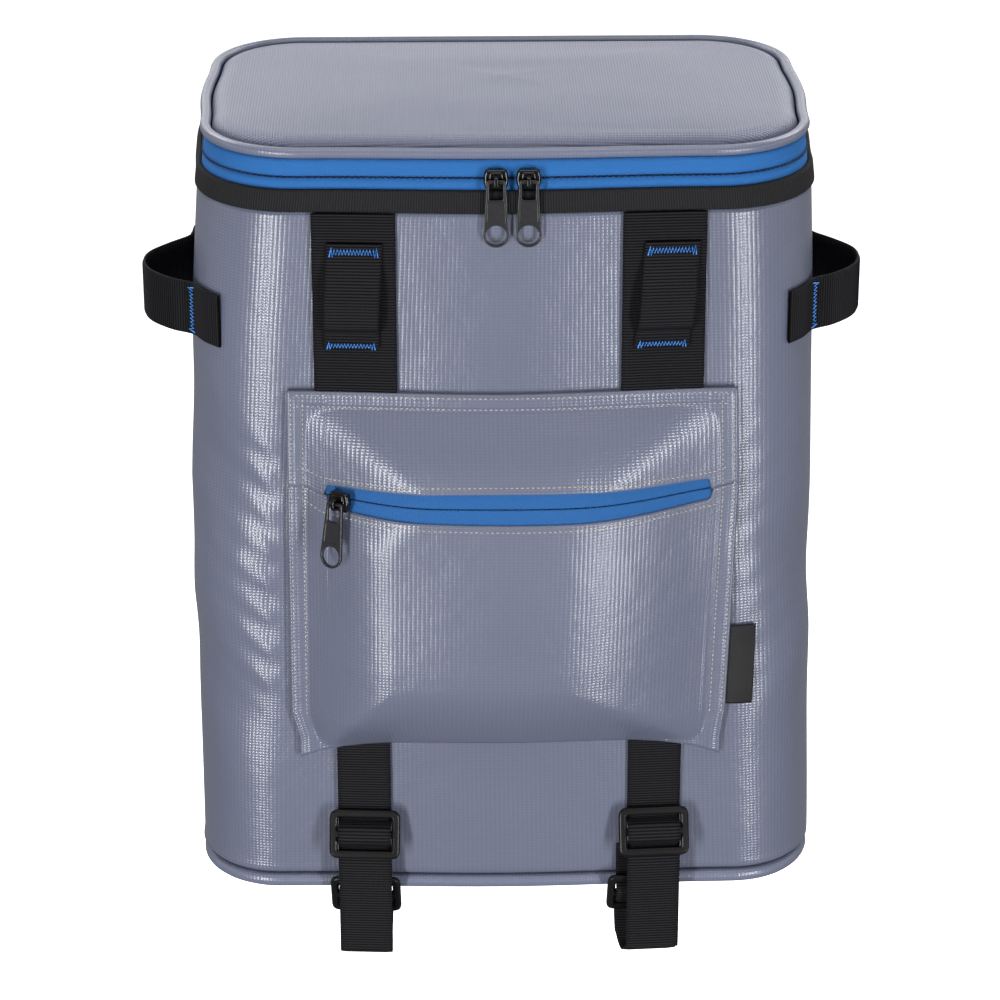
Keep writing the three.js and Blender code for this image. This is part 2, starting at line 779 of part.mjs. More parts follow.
// A webbing loop on each front corner, sewn flat at both ends: stand is a share of its reach.
const sideLoopRoute = [
  { turn: 1.46, stand: 0, layers: 2 },
  { turn: 1.6, stand: 0, layers: 2 },
  { turn: 1.74, stand: 0, layers: 2 },
  { turn: 1.8, stand: 0.12, layers: 1 },
  { turn: 1.88, stand: 0.42, layers: 1 },
  { turn: 2.0, stand: 0.82, layers: 1 },
  { turn: 2.14, stand: 1, layers: 1 },
  { turn: 2.28, stand: 0.9, layers: 1 },
  { turn: 2.4, stand: 0.5, layers: 1 },
  { turn: 2.5, stand: 0.1, layers: 1 },
  { turn: 2.56, stand: 0, layers: 1 },
  { turn: 2.68, stand: 0, layers: 1 },
];
function sideLoops() {
  const middle = rimHeight - sideLoopDrop;
  const heights = [middle - narrowWebbing / 2, middle + narrowWebbing / 2];
  for (const { name, side } of sidePanels) {
    const point = (step, height) => {
      const row = sideLoopRoute[clamp(step, 0, sideLoopRoute.length - 1)];
      return skin(side, row.turn, height, seatGap + row.stand * sideLoopReach);
    };
    const place = (height, step, face) => {
      const along = point(step + 1, height).sub(point(step - 1, height));
      const outward = new THREE.Vector3(-along.y, along.x, 0).setLength(-side * webbingThickness);
      return point(step, height).addScaledVector(outward, face * sideLoopRoute[step].layers);
    };
    add(`side_loop_${name}`, sheet(heights, [...sideLoopRoute.keys()], place), "webbing");
  }
}

// A strap slider: a frame with a bar across its middle.
function strapGlide() {
  const half = glideWidth / 2;
  const tall = glideHeight / 2;
  const outline = rectangle(-half, half, -tall, tall, glideCorner);
  const slots = [-1, 1].map((side) => {
    const ends = [(side * glideMiddleBar) / 2, side * (tall - glideBar)].sort((a, b) => a - b);
    return rectangle(glideBar - half, half - glideBar, ends[0], ends[1], glideSlotRound);
  });
  return plate(outline, slots, glideThickness);
}

// Where a strap slider stands, and the line of a strap that weaves through it.
function glideFrame(centre, across, tilt) {
  const side = across.clone().normalize();
  const forward = new THREE.Vector3(0, 0, 1).cross(side).negate();
  const face = forward.clone().multiplyScalar(Math.cos(degToRad(tilt)));
  face.z = Math.sin(degToRad(tilt));
  return { centre, side, face, up: face.clone().cross(side) };
}
function placeGlide(name, frame) {
  const glide = add(name, strapGlide(), "gloss");
  const turn = new THREE.Matrix4().makeBasis(frame.side, frame.face.clone().negate(), frame.up);
  glide.quaternion.setFromRotationMatrix(turn);
  glide.position.copy(frame.centre);
}
function strapPoint(frame, out, up) {
  return frame.centre.clone().addScaledVector(frame.face, out).addScaledVector(frame.up, up);
}
const strapStand = glideThickness / 2 + glideGap + webbingThickness / 2;
function weave(frame) {
  const slot = (glideHeight / 2 - glideBar + glideMiddleBar / 2) / 2;
  const steps = [
    [-strapStand, slot + glideBend],
    [strapStand, slot - glideBend],
    [strapStand, glideBend - slot],
    [-strapStand, -slot - glideBend],
  ];
  return steps.map(([out, up]) => strapPoint(frame, out, up));
}

// Straps that hang below the base: down through the front slider, round, up through the rear one.
function lowerStraps() {
  const seat = strapSeatGap + webbingThickness / 2;
  const past = glideHeight / 2 + glidePast;
  for (const { name, side } of sidePanels) {
    const x = (side * strapSpacing) / 2;
    const skew = side > 0 ? rightStrapSkew : 0;
    const slope = onFront(x + 1, frontGlideHeight).sub(onFront(x - 1, frontGlideHeight));
    const at = (out, height, move = 0) => {
      const wall = onFront(x + move, Math.max(height, floorThickness));
      return new THREE.Vector3(x + move, wall.y - out, height);
    };
    const front = glideFrame(at(frontGlideOut, frontGlideHeight), slope, frontGlideTilt);
    const rear = glideFrame(at(rearGlideOut, rearGlideHeight, skew), slope, rearGlideTilt);
    const turnOut = (turn) => frontRun - loopRadius + loopRadius * Math.cos(turn);
    const turnDown = (turn) => -loopDrop - loopRadius * Math.sin(turn);
    const bend = spread(0, Math.PI, 8).map((turn) =>
      at(turnOut(turn), turnDown(turn), skew * (turn / Math.PI)),
    );
    const top = pocketBottom - strapDrop;
    const points = [
      at(seat, top),
      at(seat, (top + frontGlideHeight + glideHeight / 2) / 2),
      at(seat, frontGlideHeight + glideHeight / 2),
      ...weave(front),
      strapPoint(front, -strapStand, -past),
      at(frontRun, frontGlideHeight / 3),
      ...bend,
      strapPoint(rear, -strapStand, -past),
      ...weave(rear).reverse(),
      at(seat, sewnStart, skew),
      at(seat, sewnEnd, skew),
    ];
    add(`lower_strap_${name}`, ribbon(points, slope, narrowWebbing, webbingThickness), "webbing");
    placeGlide(`front_slider_${name}`, front);
    placeGlide(`rear_slider_${name}`, rear);
  }
}

// The padded back panel, whose outer face lies against the wearer.
function backPad() {
  const half = backPadWidth / 2;
  const outline = rectangle(-half, half, -backPadHeight / 2, backPadHeight / 2, backPadCorner);
  const pad = plate(outline, [], backPadThickness, backPadRound);
  add("back_pad", pad.translate(0, -backPadThickness / 2, mountHeight), "padding");
}

// Padded shoulder straps: shares of strapFall, of the spread between their ends and of strapReach.
const shoulderRoute = [
  { down: 0, across: 0, out: 0 },
  { down: 0, across: 0, out: 0.07 },
  { down: 0.025, across: 0.07, out: 0.36 },
  { down: 0.146, across: 0.24, out: 0.79 },
  { down: 0.39, across: 0.44, out: 1 },
  { down: 0.68, across: 0.68, out: 0.93 },
  { down: 0.88, across: 0.96, out: 0.76 },
  { down: 0.94, across: 1, out: 0.68 },
  { down: 1, across: 1, out: 0.58 },
];
function shoulderStraps() {
  const topHeight = backPadBottom + backPadHeight - strapTopDrop;
  const across = new THREE.Vector3(1, 0, 0);
  for (const { name, side } of sidePanels) {
    const route = shoulderRoute.map((row) => {
      const x = (side * lerp(strapTopSpacing, strapLowSpacing, row.across)) / 2;
      return new THREE.Vector3(x, seatGap + row.out * strapReach, topHeight - row.down * strapFall);
    });
    const curve = new THREE.CatmullRomCurve3(route.slice(1));
    const padLine = [route[0], ...curve.getPoints(14)];
    const pad = ribbon(padLine, across, strapPadWidth, strapPadThickness, paddedSection);
    add(`shoulder_strap_${name}`, pad, "padding");
    const end = padLine.at(-1);
    const along = end.clone().sub(padLine.at(-2)).normalize();
    const start = end.clone().addScaledVector(along, seamGap);
    const sewn = new THREE.Vector3(end.x, backPlane + seatGap + webbingThickness / 2, strapWebStart);
    const foot = sewn.clone().setZ(strapWebStart - shoulderWebRun);
    const centre = start.clone().lerp(sewn, 0.4);
    const run = sewn.clone().sub(start);
    const frame = glideFrame(centre, across, radToDeg(Math.atan2(-run.y, -run.z)));
    const points = [start, ...weave(frame), sewn, foot];
    const web = ribbon(points, across, narrowWebbing, webbingThickness);
    add(`shoulder_web_${name}`, web, "webbing");
    placeGlide(`shoulder_slider_${name}`, frame);
  }
}

// A haul loop above the back pad: shares of half haulWidth and of haulReach.
const haulRoute = [
  { across: 1, out: 0 },
  { across: 0.86, out: 0 },
  { across: 0.72, out: 0.02 },
  { across: 0.6, out: 0.25 },
  { across: 0.46, out: 0.66 },
  { across: 0.26, out: 0.94 },
  { across: 0, out: 1 },
];
function haulLoop() {
  const height = rimHeight - haulDrop;
  const seat = backPlane + seatGap + webbingThickness / 2;
  const half = haulRoute.map((row) => {
    const x = (row.across * haulWidth) / 2;
    return new THREE.Vector3(x, seat + row.out * haulReach, height);
  });
  const other = half.slice(0, -1).reverse().map((point) => point.clone().setX(-point.x));
  const up = new THREE.Vector3(0, 0, 1);
  add("haul_loop", ribbon([...half, ...other], up, narrowWebbing, webbingThickness), "webbing");
}

bodyShell();
rimAndZip();
lid();
lidPulls();
frontWebbing();
frontPocket();
pocketZipper();
label();
sideLoops();
lowerStraps();
backPad();
shoulderStraps();
haulLoop();

export default pack;
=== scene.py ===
import json
import math
from bisect import bisect_left

import bmesh
import bpy
from mathutils import Matrix, Vector, noise


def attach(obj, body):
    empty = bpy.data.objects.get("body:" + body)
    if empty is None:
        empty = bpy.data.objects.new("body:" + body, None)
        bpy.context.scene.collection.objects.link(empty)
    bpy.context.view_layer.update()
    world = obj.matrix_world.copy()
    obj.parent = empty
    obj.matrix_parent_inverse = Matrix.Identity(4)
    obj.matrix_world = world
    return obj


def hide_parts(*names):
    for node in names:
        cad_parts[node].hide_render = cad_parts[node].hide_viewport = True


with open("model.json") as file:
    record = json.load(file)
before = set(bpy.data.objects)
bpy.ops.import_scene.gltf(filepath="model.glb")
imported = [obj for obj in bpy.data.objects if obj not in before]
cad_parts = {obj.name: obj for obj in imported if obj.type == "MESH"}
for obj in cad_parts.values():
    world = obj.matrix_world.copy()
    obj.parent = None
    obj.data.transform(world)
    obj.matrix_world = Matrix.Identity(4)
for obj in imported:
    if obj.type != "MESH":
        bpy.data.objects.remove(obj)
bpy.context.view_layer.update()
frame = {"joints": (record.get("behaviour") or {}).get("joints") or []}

# Camera
# It stands in front of the pack, a touch to its left and above it, far off with a long lens, so
# that the sides of the pack stay nearly parallel.
aim = Vector((0, -0.120, 0.0125))
camera_turn = math.radians(-1.2)
camera_pitch = math.radians(23.4)
camera_distance = 1.7


def way_out(turn, pitch):
    """The direction out from the pack, turned from its front and lifted."""
    return Vector((
        math.sin(turn) * math.cos(pitch),
        -math.cos(turn) * math.cos(pitch),
        math.sin(pitch),
    ))


away = way_out(camera_turn, camera_pitch)
camera_data = bpy.data.cameras.new("camera")
camera_data.sensor_width = 36
camera_data.lens = 125.53
camera_data.shift_x = -0.0055
camera_data.shift_y = -0.0286
camera = bpy.data.objects.new("camera", camera_data)
camera.location = aim + away * camera_distance
camera.rotation_euler = (-away).to_track_quat("-Z", "Y").to_euler()
bpy.context.collection.objects.link(camera)
bpy.context.scene.camera = camera

# Studio
# A white floor and dome round the hanging pack, two tall strip softboxes in front of it, wide ones
# overhead, at its sides and behind it, and a little even light from a white room.
floor_height = -0.75
world = bpy.data.worlds.new("white_room")
world.use_nodes = True
world.node_tree.nodes["Background"].inputs["Color"].default_value = (1, 1, 1, 1)
world.node_tree.nodes["Background"].inputs["Strength"].default_value = 0.24
bpy.context.scene.world = world
bpy.context.scene.view_settings.view_transform = "Standard"


def softbox(name, turn, pitch, distance, width, height, power):
    out = way_out(math.radians(turn), math.radians(pitch))
    lamp = bpy.data.lights.new(name, "AREA")
    lamp.shape = "RECTANGLE"
    lamp.size = width
    lamp.size_y = height
    lamp.energy = power
    box = bpy.data.objects.new(name, lamp)
    box.location = aim + out * distance
    box.rotation_euler = (-out).to_track_quat("-Z", "Y").to_euler()
    box.visible_camera = False
    bpy.context.collection.objects.link(box)


softbox("strip_left", -30, -4, 1.45, 0.16, 0.98, 19)
softbox("strip_right", 32, -4, 1.45, 0.16, 0.98, 17)
softbox("overhead", 0, 78, 1.5, 1.4, 1.2, 13)
softbox("side_left", -90, 12, 1.8, 1.2, 1.2, 4)
softbox("side_right", 90, 12, 1.8, 1.2, 1.2, 4)
softbox("behind", 180, 20, 1.9, 2.4, 1.3, 10)
softbox("back_left", -138, 44, 1.8, 1.0, 0.8, 14)
softbox("back_right", 138, 44, 1.8, 1.0, 0.8, 14)

floor = bmesh.new()
bmesh.ops.create_grid(floor, x_segments=1, y_segments=1, size=14)
bmesh.ops.translate(floor, vec=(0, 0, floor_height), verts=floor.verts)
bmesh.ops.create_icosphere(floor, subdivisions=3, radius=12)
floor_mesh = bpy.data.meshes.new("studio_floor")
floor.to_mesh(floor_mesh)
floor.free()
floor_paint = bpy.data.materials.new("floor_paint")
floor_paint.use_nodes = True
floor_shader = floor_paint.node_tree.nodes["Principled BSDF"]
floor_shader.inputs["Base Color"].default_value = (0.9, 0.9, 0.9, 1)
floor_shader.inputs["Roughness"].default_value = 0.9
floor_shader.inputs["Emission Color"].default_value = (1, 1, 1, 1)
floor_shader.inputs["Emission Strength"].default_value = 1.0
floor_mesh.materials.append(floor_paint)
studio_floor = bpy.data.objects.new("studio_floor", floor_mesh)
studio_floor.visible_glossy = False
studio_floor.visible_diffuse = False
studio_floor.visible_shadow = False
bpy.context.collection.objects.link(studio_floor)

# Body
# A box of coated polyester fabric over foam, its panels welded and sewn inside out and turned,
# so that the wall runs round soft corners and leans in towards the rim.
base_height = -0.173
pack_height = 0.372
pack_width = 0.300
pack_depth = 0.190
front_corner = 0.046
back_corner = 0.060
front_bow = 0.007
side_bow = 0.002
front_plane = -0.200
back_plane = -0.010
wall_thickness = 0.008
rim_height = 0.3472
tarpaulin_grey = (0.094, 0.105, 0.153)
# Shares of the pack's height, width, front bow, two corners and depth, from the base up.
section_columns = ("height", "width", "bow", "front", "back", "shift", "lean")
sections = [dict(zip(section_columns, row)) for row in (
    (0.0, 0.992, 0.45, 0.86, 0.8, -0.003, 0),
    (0.03, 1.0, 0.55, 0.87, 0.8, -0.003, 0),
    (0.25, 0.997, 1.0, 0.93, 0.85, -0.006, 0),
    (0.55, 0.99, 1.0, 0.98, 0.92, -0.009, 0),
    (0.78, 0.968, 0.85, 1.0, 0.88, -0.006, 0.005),
    (0.93, 0.946, 0.6, 1.0, 0.8, -0.003, 0.035),
    (1.0, 0.925, 0.35, 1.0, 0.72, -0.003, 0.065),
)]
# Soft folds: shares of the pack's height and width, the tilt in degrees.
fold_columns = ("side", "turn", "height", "length", "width", "tilt", "depth")
folds = [dict(zip(fold_columns, row)) for row in (
    (-1, 1.5, 0.6, 0.13, 0.05, 40, -0.007),
    (-1, 1.5, 0.44, 0.15, 0.045, -35, 0.006),
    (-1, 1.4, 0.28, 0.13, 0.05, 35, -0.007),
    (1, 1.55, 0.46, 0.15, 0.05, -40, -0.006),
    (1, 1.5, 0.3, 0.13, 0.05, 35, 0.005),
    (-1, 2.5, 0.45, 0.3, 0.1, 80, -0.012),
    (1, 2.5, 0.45, 0.3, 0.1, 100, -0.012),
)]
turn_length = 0.42 * pack_depth
# How far round half the pack each turn begins, as a share of the half.
turn_starts = [0.0, 0.235, 0.405, 0.6, 0.815, 1.0]


def lerp(low, high, share):
    return low + (high - low) * share


def spread(first, last, count):
    return [lerp(first, last, i / count) for i in range(count + 1)]


def smooth(share):
    share = min(max(share, 0), 1)
    return share * share * (3 - 2 * share)


def read(table, key, column, at):
    """A column of a table between its rows."""
    rows = [row for row in table if row[key] < at]
    if not rows:
        return table[0][column]
    if len(rows) == len(table):
        return table[-1][column]
    low, high = table[len(rows) - 1], table[len(rows)]
    return lerp(low[column], high[column], (at - low[key]) / (high[key] - low[key]))


plans = {}


def plan_at(height):
    if height not in plans:
        share = height / pack_height
        plans[height] = {
            "half": pack_width / 2 * read(sections, "height", "width", share),
            "bow": front_bow * read(sections, "height", "bow", share),
            "front": front_corner * read(sections, "height", "front", share),
            "back": back_corner * read(sections, "height", "back", share),
            "shift": pack_width * read(sections, "height", "shift", share),
            "rear": back_plane - pack_depth * read(sections, "height", "lean", share),
        }
    return plans[height]


def fold_depth(side, turn, height):
    depth = 0
    for fold in folds:
        if fold["side"] != side:
            continue
        across = (turn - fold["turn"]) * turn_length
        up = height - fold["height"] * pack_height
        tilt = math.radians(fold["tilt"])
        along = (across * math.cos(tilt) + up * math.sin(tilt)) / (fold["length"] * pack_height)
        off = (up * math.cos(tilt) - across * math.sin(tilt)) / (fold["width"] * pack_height)
        depth += fold["depth"] * pack_width * math.exp(-along * along - off * off)
    return depth


def plan_point(plan, turn):
    """Half the plan, from turn 0 in the middle of the front to turn 5 in the middle of the back."""
    flat = plan["half"] - plan["front"]
    run = plan["rear"] - front_plane - plan["front"] - plan["back"]
    quarter = math.pi / 2 * (turn - math.floor(min(turn, 4)))
    sin, cos = math.sin(quarter), math.cos(quarter)
    if turn < 1:
        slope = plan["bow"] * math.pi / 2 * math.sin(2 * quarter)
        return Vector((flat * turn, front_plane - plan["bow"] * cos * cos)), Vector((slope, -flat))
    if turn < 2:
        y = front_plane + plan["front"] * (1 - cos)
        return Vector((flat + plan["front"] * sin, y)), Vector((sin, -cos))
    if turn < 3:
        bulge = side_bow * math.sin(2 * quarter) ** 2
        y = front_plane + plan["front"] + run * (turn - 2)
        slope = side_bow * math.pi * math.sin(4 * quarter)
        return Vector((plan["half"] + bulge, y)), Vector((run, -slope))
    if turn < 4:
        x = plan["half"] - plan["back"] * (1 - cos)
        return Vector((x, plan["rear"] - plan["back"] * (1 - sin))), Vector((cos, sin))
    return Vector(((plan["half"] - plan["back"]) * (5 - turn), plan["rear"])), Vector((0, 1))


def skin(side, turn, height, out=0.0):
    """A point on the fabric of the body, or out in front of it. Heights are above the base."""
    plan = plan_at(height)
    point, normal = plan_point(plan, turn)
    point = point + normal.normalized() * (out + fold_depth(side, turn, height))
    return Vector((plan["shift"] + side * point.x, point.y, base_height + height))


def on_front(x, height, out=0.0):
    """The same, found from x on the front and its corners."""
    plan = plan_at(height)
    side = -1 if x < plan["shift"] else 1
    flat = plan["half"] - plan["front"]
    across = abs(x - plan["shift"])
    if across <= flat:
        return skin(side, across / flat, height, out)
    angle = math.asin(min((across - flat) / plan["front"], 1))
    return skin(side, 1 + angle / (math.pi / 2), height, out)


def turn_at(way):
    """The turn that a share of the way round half the pack falls on."""
    part = max(k for k in range(5) if turn_starts[k] <= way)
    return part + (way - turn_starts[part]) / (turn_starts[part + 1] - turn_starts[part])


def round_pack(count, share=1.0):
    """Places from the back over the left side and the front to the back again."""
    places = []
    for i in range(-count, count + 1):
        places.append((-1 if i < 0 else 1, turn_at(share * abs(i) / count)))
    return places


def distances(points):
    run = [0.0]
    for before, after in zip(points, points[1:]):
        run.append(run[-1] + (after - before).length)
    return run


def lay(columns, rows, place, around=False):
    """A cloth of columns by rows, put where place says, with its real lengths in its UV map."""
    cloth = bmesh.new()
    bmesh.ops.create_grid(cloth, x_segments=len(columns) - 1, y_segments=len(rows) - 1, size=0.5)
    across = distances([place(column, rows[len(rows) // 2]) for column in columns])
    along = distances([place(columns[len(columns) // 2], row) for row in rows])
    measure = cloth.loops.layers.uv.new("cloth")
    spots = {}
    for vertex in cloth.verts:
        i = round((vertex.co.x + 0.5) * (len(columns) - 1))
        j = round((vertex.co.y + 0.5) * (len(rows) - 1))
        spots[vertex] = (across[i], along[j])
        vertex.co = place(columns[i], rows[j])
    for face in cloth.faces:
        for loop in face.loops:
            loop[measure].uv = spots[loop.vert]
    if around:
        bmesh.ops.remove_doubles(cloth, verts=cloth.verts, dist=1e-6)
    bmesh.ops.recalc_face_normals(cloth, faces=cloth.faces)
    return cloth


def close_ends(shape):
    bmesh.ops.holes_fill(shape, edges=[edge for edge in shape.edges if edge.is_boundary], sides=0)
    bmesh.ops.recalc_face_normals(shape, faces=shape.faces)


def finished(shape, name, material, body="pack"):
    mesh = bpy.data.meshes.new(name)
    shape.to_mesh(mesh)
    shape.free()
    mesh.shade_smooth()
    mesh.materials.append(material)
    piece = bpy.data.objects.new(name, mesh)
    bpy.context.collection.objects.link(piece)
    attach(piece, body)
    return piece


def add_node(tree, kind, inputs=None, **settings):
    made = tree.nodes.new(kind)
    for key, value in settings.items():
        setattr(made, key, value)
    for key, value in (inputs or {}).items():
        if isinstance(value, bpy.types.NodeSocket):
            tree.links.new(value, made.inputs[key])
        else:
            made.inputs[key].default_value = value
    return made


def maths(tree, operation, first, second=0.0):
    return add_node(tree, "ShaderNodeMath", {0: first, 1: second}, operation=operation).outputs[0]


def ribs(tree, coordinate, pitch):
    """Round ribs with sharp valleys between them, from 0 to 1."""
    wave = maths(tree, "SINE", maths(tree, "MULTIPLY", coordinate, math.pi / pitch))
    return maths(tree, "ABSOLUTE", wave)


def plain_finish(name, colour, roughness):
    material = bpy.data.materials.new(name)
    material.use_nodes = True
    shader = material.node_tree.nodes["Principled BSDF"]
    shader.inputs["Base Color"].default_value = (*colour, 1)
    shader.inputs["Roughness"].default_value = roughness
    return material, material.node_tree, shader


def cloth_axes(tree):
    measure = add_node(tree, "ShaderNodeUVMap", uv_map="cloth")
    split = add_node(tree, "ShaderNodeSeparateXYZ", {"Vector": measure.outputs["UV"]})
    return split.outputs["X"], split.outputs["Y"]


def shades(tree, shader, factor, colour, dark, light, first=0.0, last=1.0):
    """Colours a piece from a dark shade of its colour, where factor is low, to a light one."""
    ramp = add_node(tree, "ShaderNodeValToRGB", {"Fac": factor})
    low, high = ramp.color_ramp.elements
    low.position = first
    high.position = last
    low.color = (*[tone * dark for tone in colour], 1)
    high.color = (*[tone * light for tone in colour], 1)
    tree.links.new(ramp.outputs["Color"], shader.inputs["Base Color"])
    return ramp.outputs["Color"]


def relief(tree, shader, height, depth):
    """Raises the fine pattern on a piece's surface."""
    bump = add_node(tree, "ShaderNodeBump", {"Height": height, "Distance": depth})
    tree.links.new(bump.outputs["Normal"], shader.inputs["Normal"])
    return bump


def cloudy(tree, shader, colour, change, scale):
    """Lets a colour drift a little over the piece, and hands back its place and its colour."""
    place = add_node(tree, "ShaderNodeTexCoord").outputs["Object"]
    cloud = add_node(tree, "ShaderNodeTexNoise", {"Vector": place, "Scale": scale, "Detail": 3.0})
    tone = shades(tree, shader, cloud.outputs["Fac"], colour, 1 - change, 1 + change, 0.3, 0.7)
    return place, tone


def tarpaulin_finish(name, colour, across, along, depth, slack_depth=0.0004):
    """Glossy coating with the weave of the cloth under it showing through as small pillows."""
    material, tree, shader = plain_finish(name, colour, 0.55)
    shader.inputs["Specular IOR Level"].default_value = 0.15
    shader.inputs["Coat Weight"].default_value = 1.0
    shader.inputs["Coat Roughness"].default_value = 0.25
    place, tone = cloudy(tree, shader, colour, 0.05, 9.0)
    u, v = cloth_axes(tree)
    pillows = maths(tree, "MULTIPLY", ribs(tree, u, across), ribs(tree, v, along))
    # Painted shade: the colour is darkened in the valleys between the weave's pillows.
    valley_shade = maths(tree, "ADD", 0.92, maths(tree, "MULTIPLY", pillows, 0.16))
    shade = add_node(tree, "ShaderNodeVectorMath", {0: tone, "Scale": valley_shade}, operation="SCALE")
    tree.links.new(shade.outputs["Vector"], shader.inputs["Base Color"])
    slack = add_node(tree, "ShaderNodeTexNoise", {"Vector": place, "Scale": 90.0, "Detail": 2.0})
    rise = add_node(tree, "ShaderNodeBump", {"Height": slack.outputs["Fac"], "Distance": slack_depth})
    weave = relief(tree, shader, pillows, depth)
    tree.links.new(rise.outputs["Normal"], weave.inputs["Normal"])
    tree.links.new(weave.outputs["Normal"], shader.inputs["Coat Normal"])
    return material


tarpaulin = tarpaulin_finish("tarpaulin", tarpaulin_grey, 0.0021, 0.00145, 0.00010)
wall_drift = 0.0009
pucker_pitch = 0.0175
pucker_reach = 0.018
pucker_slant = 0.55
pucker_low = 0.095
pucker_high = 0.25
pucker_depths = {-1: 0.00075, 1: 0.0003}


def ease(side, turn, height):
    """How the wall gives: it is never quite flat, and puckers run up to the pocket's side seams."""
    drift = (noise.noise(Vector((side * turn * 1.7, height * 11, 2.0))) - 0.6) * wall_drift
    drift *= smooth(turn) * smooth(5 - turn)
    off = (turn - 1.04) * turn_length
    if off < 0:
        return drift
    band = smooth((height - pucker_low) / 0.02) * smooth((pucker_high - height) / 0.02)
    wave = math.sin(2 * math.pi * (height - pucker_slant * off) / pucker_pitch)
    return drift + pucker_depths[side] * band * wave * math.exp(-off / pucker_reach)


# The wall's profile from the inner floor over the rim and down to the base: out and height.
wall_profile = [(-wall_thickness, height) for height in (0.009, 0.06, 0.15, 0.25, 0.34)]
wall_profile += [(-wall_thickness, rim_height - 0.001), (-0.006, rim_height), (-0.0025, rim_height)]
wall_profile += [(0, height) for height in spread(rim_height, 0.0125, 124)]
# Then the welt over the piping, and the base with its edge turned in.
wall_profile += [(-0.0002, 0.0108), (-0.0008, 0.0094), (-0.0018, 0.0083), (-0.0032, 0.0078)]
wall_profile += [(-0.0074, 0.0076), (-0.0074, 0.0045), (-0.0074, 0.0005)]
wall_profile += [(-0.012, 0.0005), (-0.03, 0.0007), (-0.055, 0.0009)]


def wall_point(station, profile):
    side, turn = station
    out, height = profile
    give = ease(side, turn, height) if out == 0 else 0
    return skin(side, turn, height, out + give)


body = lay(round_pack(146), wall_profile, wall_point, around=True)
close_ends(body)
body_wall = finished(body, "body_wall", tarpaulin)
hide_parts("body_shell")

# Base piping
# A plastic cord wrapped in a strip of the same coated fabric. Its flat edge is sewn into the seam
# between the wall and the base, and the cord stands out of it as a round welt.
base_cord = 0.0035
# Painted highlight: the cord's fabric is painted lighter than the same fabric on the wall.
lit_piping_grey = (0.108, 0.120, 0.176)
piping_finish = tarpaulin_finish("piping", lit_piping_grey, 0.0016, 0.00125, 0.00008)


def cord_ring(name, radius, out, height, count):
    section = [(math.cos(turn), math.sin(turn)) for turn in spread(0, 2 * math.pi, 20)]

    def point(station, section_point):
        side, turn = station
        ripple = noise.noise(Vector((side * turn * 6, height * 50, 1.0))) * 0.0002
        give = ripple * smooth(turn) * smooth(5 - turn)
        across, up = section_point
        return skin(*station, height + up * radius, out + give + across * radius)

    ring = lay(round_pack(count), section, point, around=True)
    return finished(ring, name, piping_finish)


base_ring = cord_ring("base_cord", base_cord, 0.0002 - base_cord, base_cord, 150)
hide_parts("base_piping")

# Rim binding, zip tapes and coil
# Black grosgrain folded over the rim. Two blue tapes stand above it, and the coil runs behind
# them where they meet, so that only its sewing shows.
binding_low = 0.3475
binding_top = 0.3579
binding_black = (0.008, 0.008, 0.009)
tape_blue = (0.018, 0.110, 0.325)
tape_inset = 0.0015
tape_thickness = 0.0012
coil_height = 0.3634
zip_end = 0.895


def grosgrain_finish(name, colour, rib):
    material, tree, shader = plain_finish(name, colour, 0.75)
    shader.inputs["Specular IOR Level"].default_value = 0.2
    u, v = cloth_axes(tree)
    upright = ribs(tree, u, rib)
    threads = maths(tree, "MULTIPLY", ribs(tree, v, 0.0007), 0.5)
    weave = maths(tree, "MULTIPLY", upright, maths(tree, "ADD", 0.5, threads))
    # Painted light and shade: the tops of the ribs are painted lighter and the valleys between them
    # darker.
    shades(tree, shader, weave, colour, 0.1, 2.0)
    relief(tree, shader, weave, 0.0003)
    return material


def tape_finish(name, colour):
    """Blue polyester tape woven in a herringbone."""
    material, tree, shader = plain_finish(name, colour, 0.7)
    shader.inputs["Specular IOR Level"].default_value = 0.2
    u, v = cloth_axes(tree)
    slant = maths(tree, "ADD", u, maths(tree, "PINGPONG", v, 0.0014))
    weave = ribs(tree, slant, 0.0009)
    # Painted light and shade: the ridges of the herringbone are painted lighter and its valleys darker.
    shades(tree, shader, weave, colour, 0.55, 1.3)
    relief(tree, shader, weave, 0.00018)
    return material


grosgrain = grosgrain_finish("grosgrain", binding_black, 0.0012)
zip_tape = tape_finish("zip_tape", tape_blue)

binding_section = [(-0.0012, binding_low), (0.0004, binding_low), (0.0009, binding_low + 0.0006)]
binding_section += [(0.0010, height) for height in spread(binding_low + 0.0015, binding_top - 0.0015, 6)]
binding_section += [(0.0009, binding_top - 0.0006), (0.0004, binding_top), (-0.0012, binding_top)]
binding_section += [binding_section[0]]


def band_point(station, section_point):
    out, height = section_point
    return skin(*station, height, out)


binding = lay(round_pack(150), binding_section, band_point, around=True)
binding = finished(binding, "binding", grosgrain)
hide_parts("rim_binding")


def tape(name, low, high, node):
    heights = spread(low, high, 4)
    section = [(-tape_inset, height) for height in heights]
    section += [(-tape_inset - tape_thickness, height) for height in reversed(heights)]
    section += [section[0]]
    strip = lay(round_pack(140, zip_end), section, band_point, around=True)
    close_ends(strip)
    strip = finished(strip, name, zip_tape)
    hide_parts(node)


tape("lower_tape", binding_top - 0.0104, coil_height - 0.00035, "zip_tape_lower")
tape("upper_tape", coil_height + 0.00035, pack_height - 0.0003, "zip_tape_upper")

# Lid hinge
# A strip of the body's coated fabric, sewn into the rim and the lid's edge behind, where the zip
# ends. It bellies out a little, with a crease along its middle where it folds.
hinge_half = 0.0502
hinge_belly = 0.0012
hinge_crease = 0.0005


def hinge_point(x, height):
    up = (height - rim_height) / (pack_height - rim_height)
    bow = hinge_belly * math.sin(math.pi * up) - hinge_crease * math.exp(-((up - 0.5) / 0.08) ** 2)
    plan = plan_at(height)
    return Vector((plan["shift"] + x, plan["rear"] - tape_inset + bow, base_height + height))


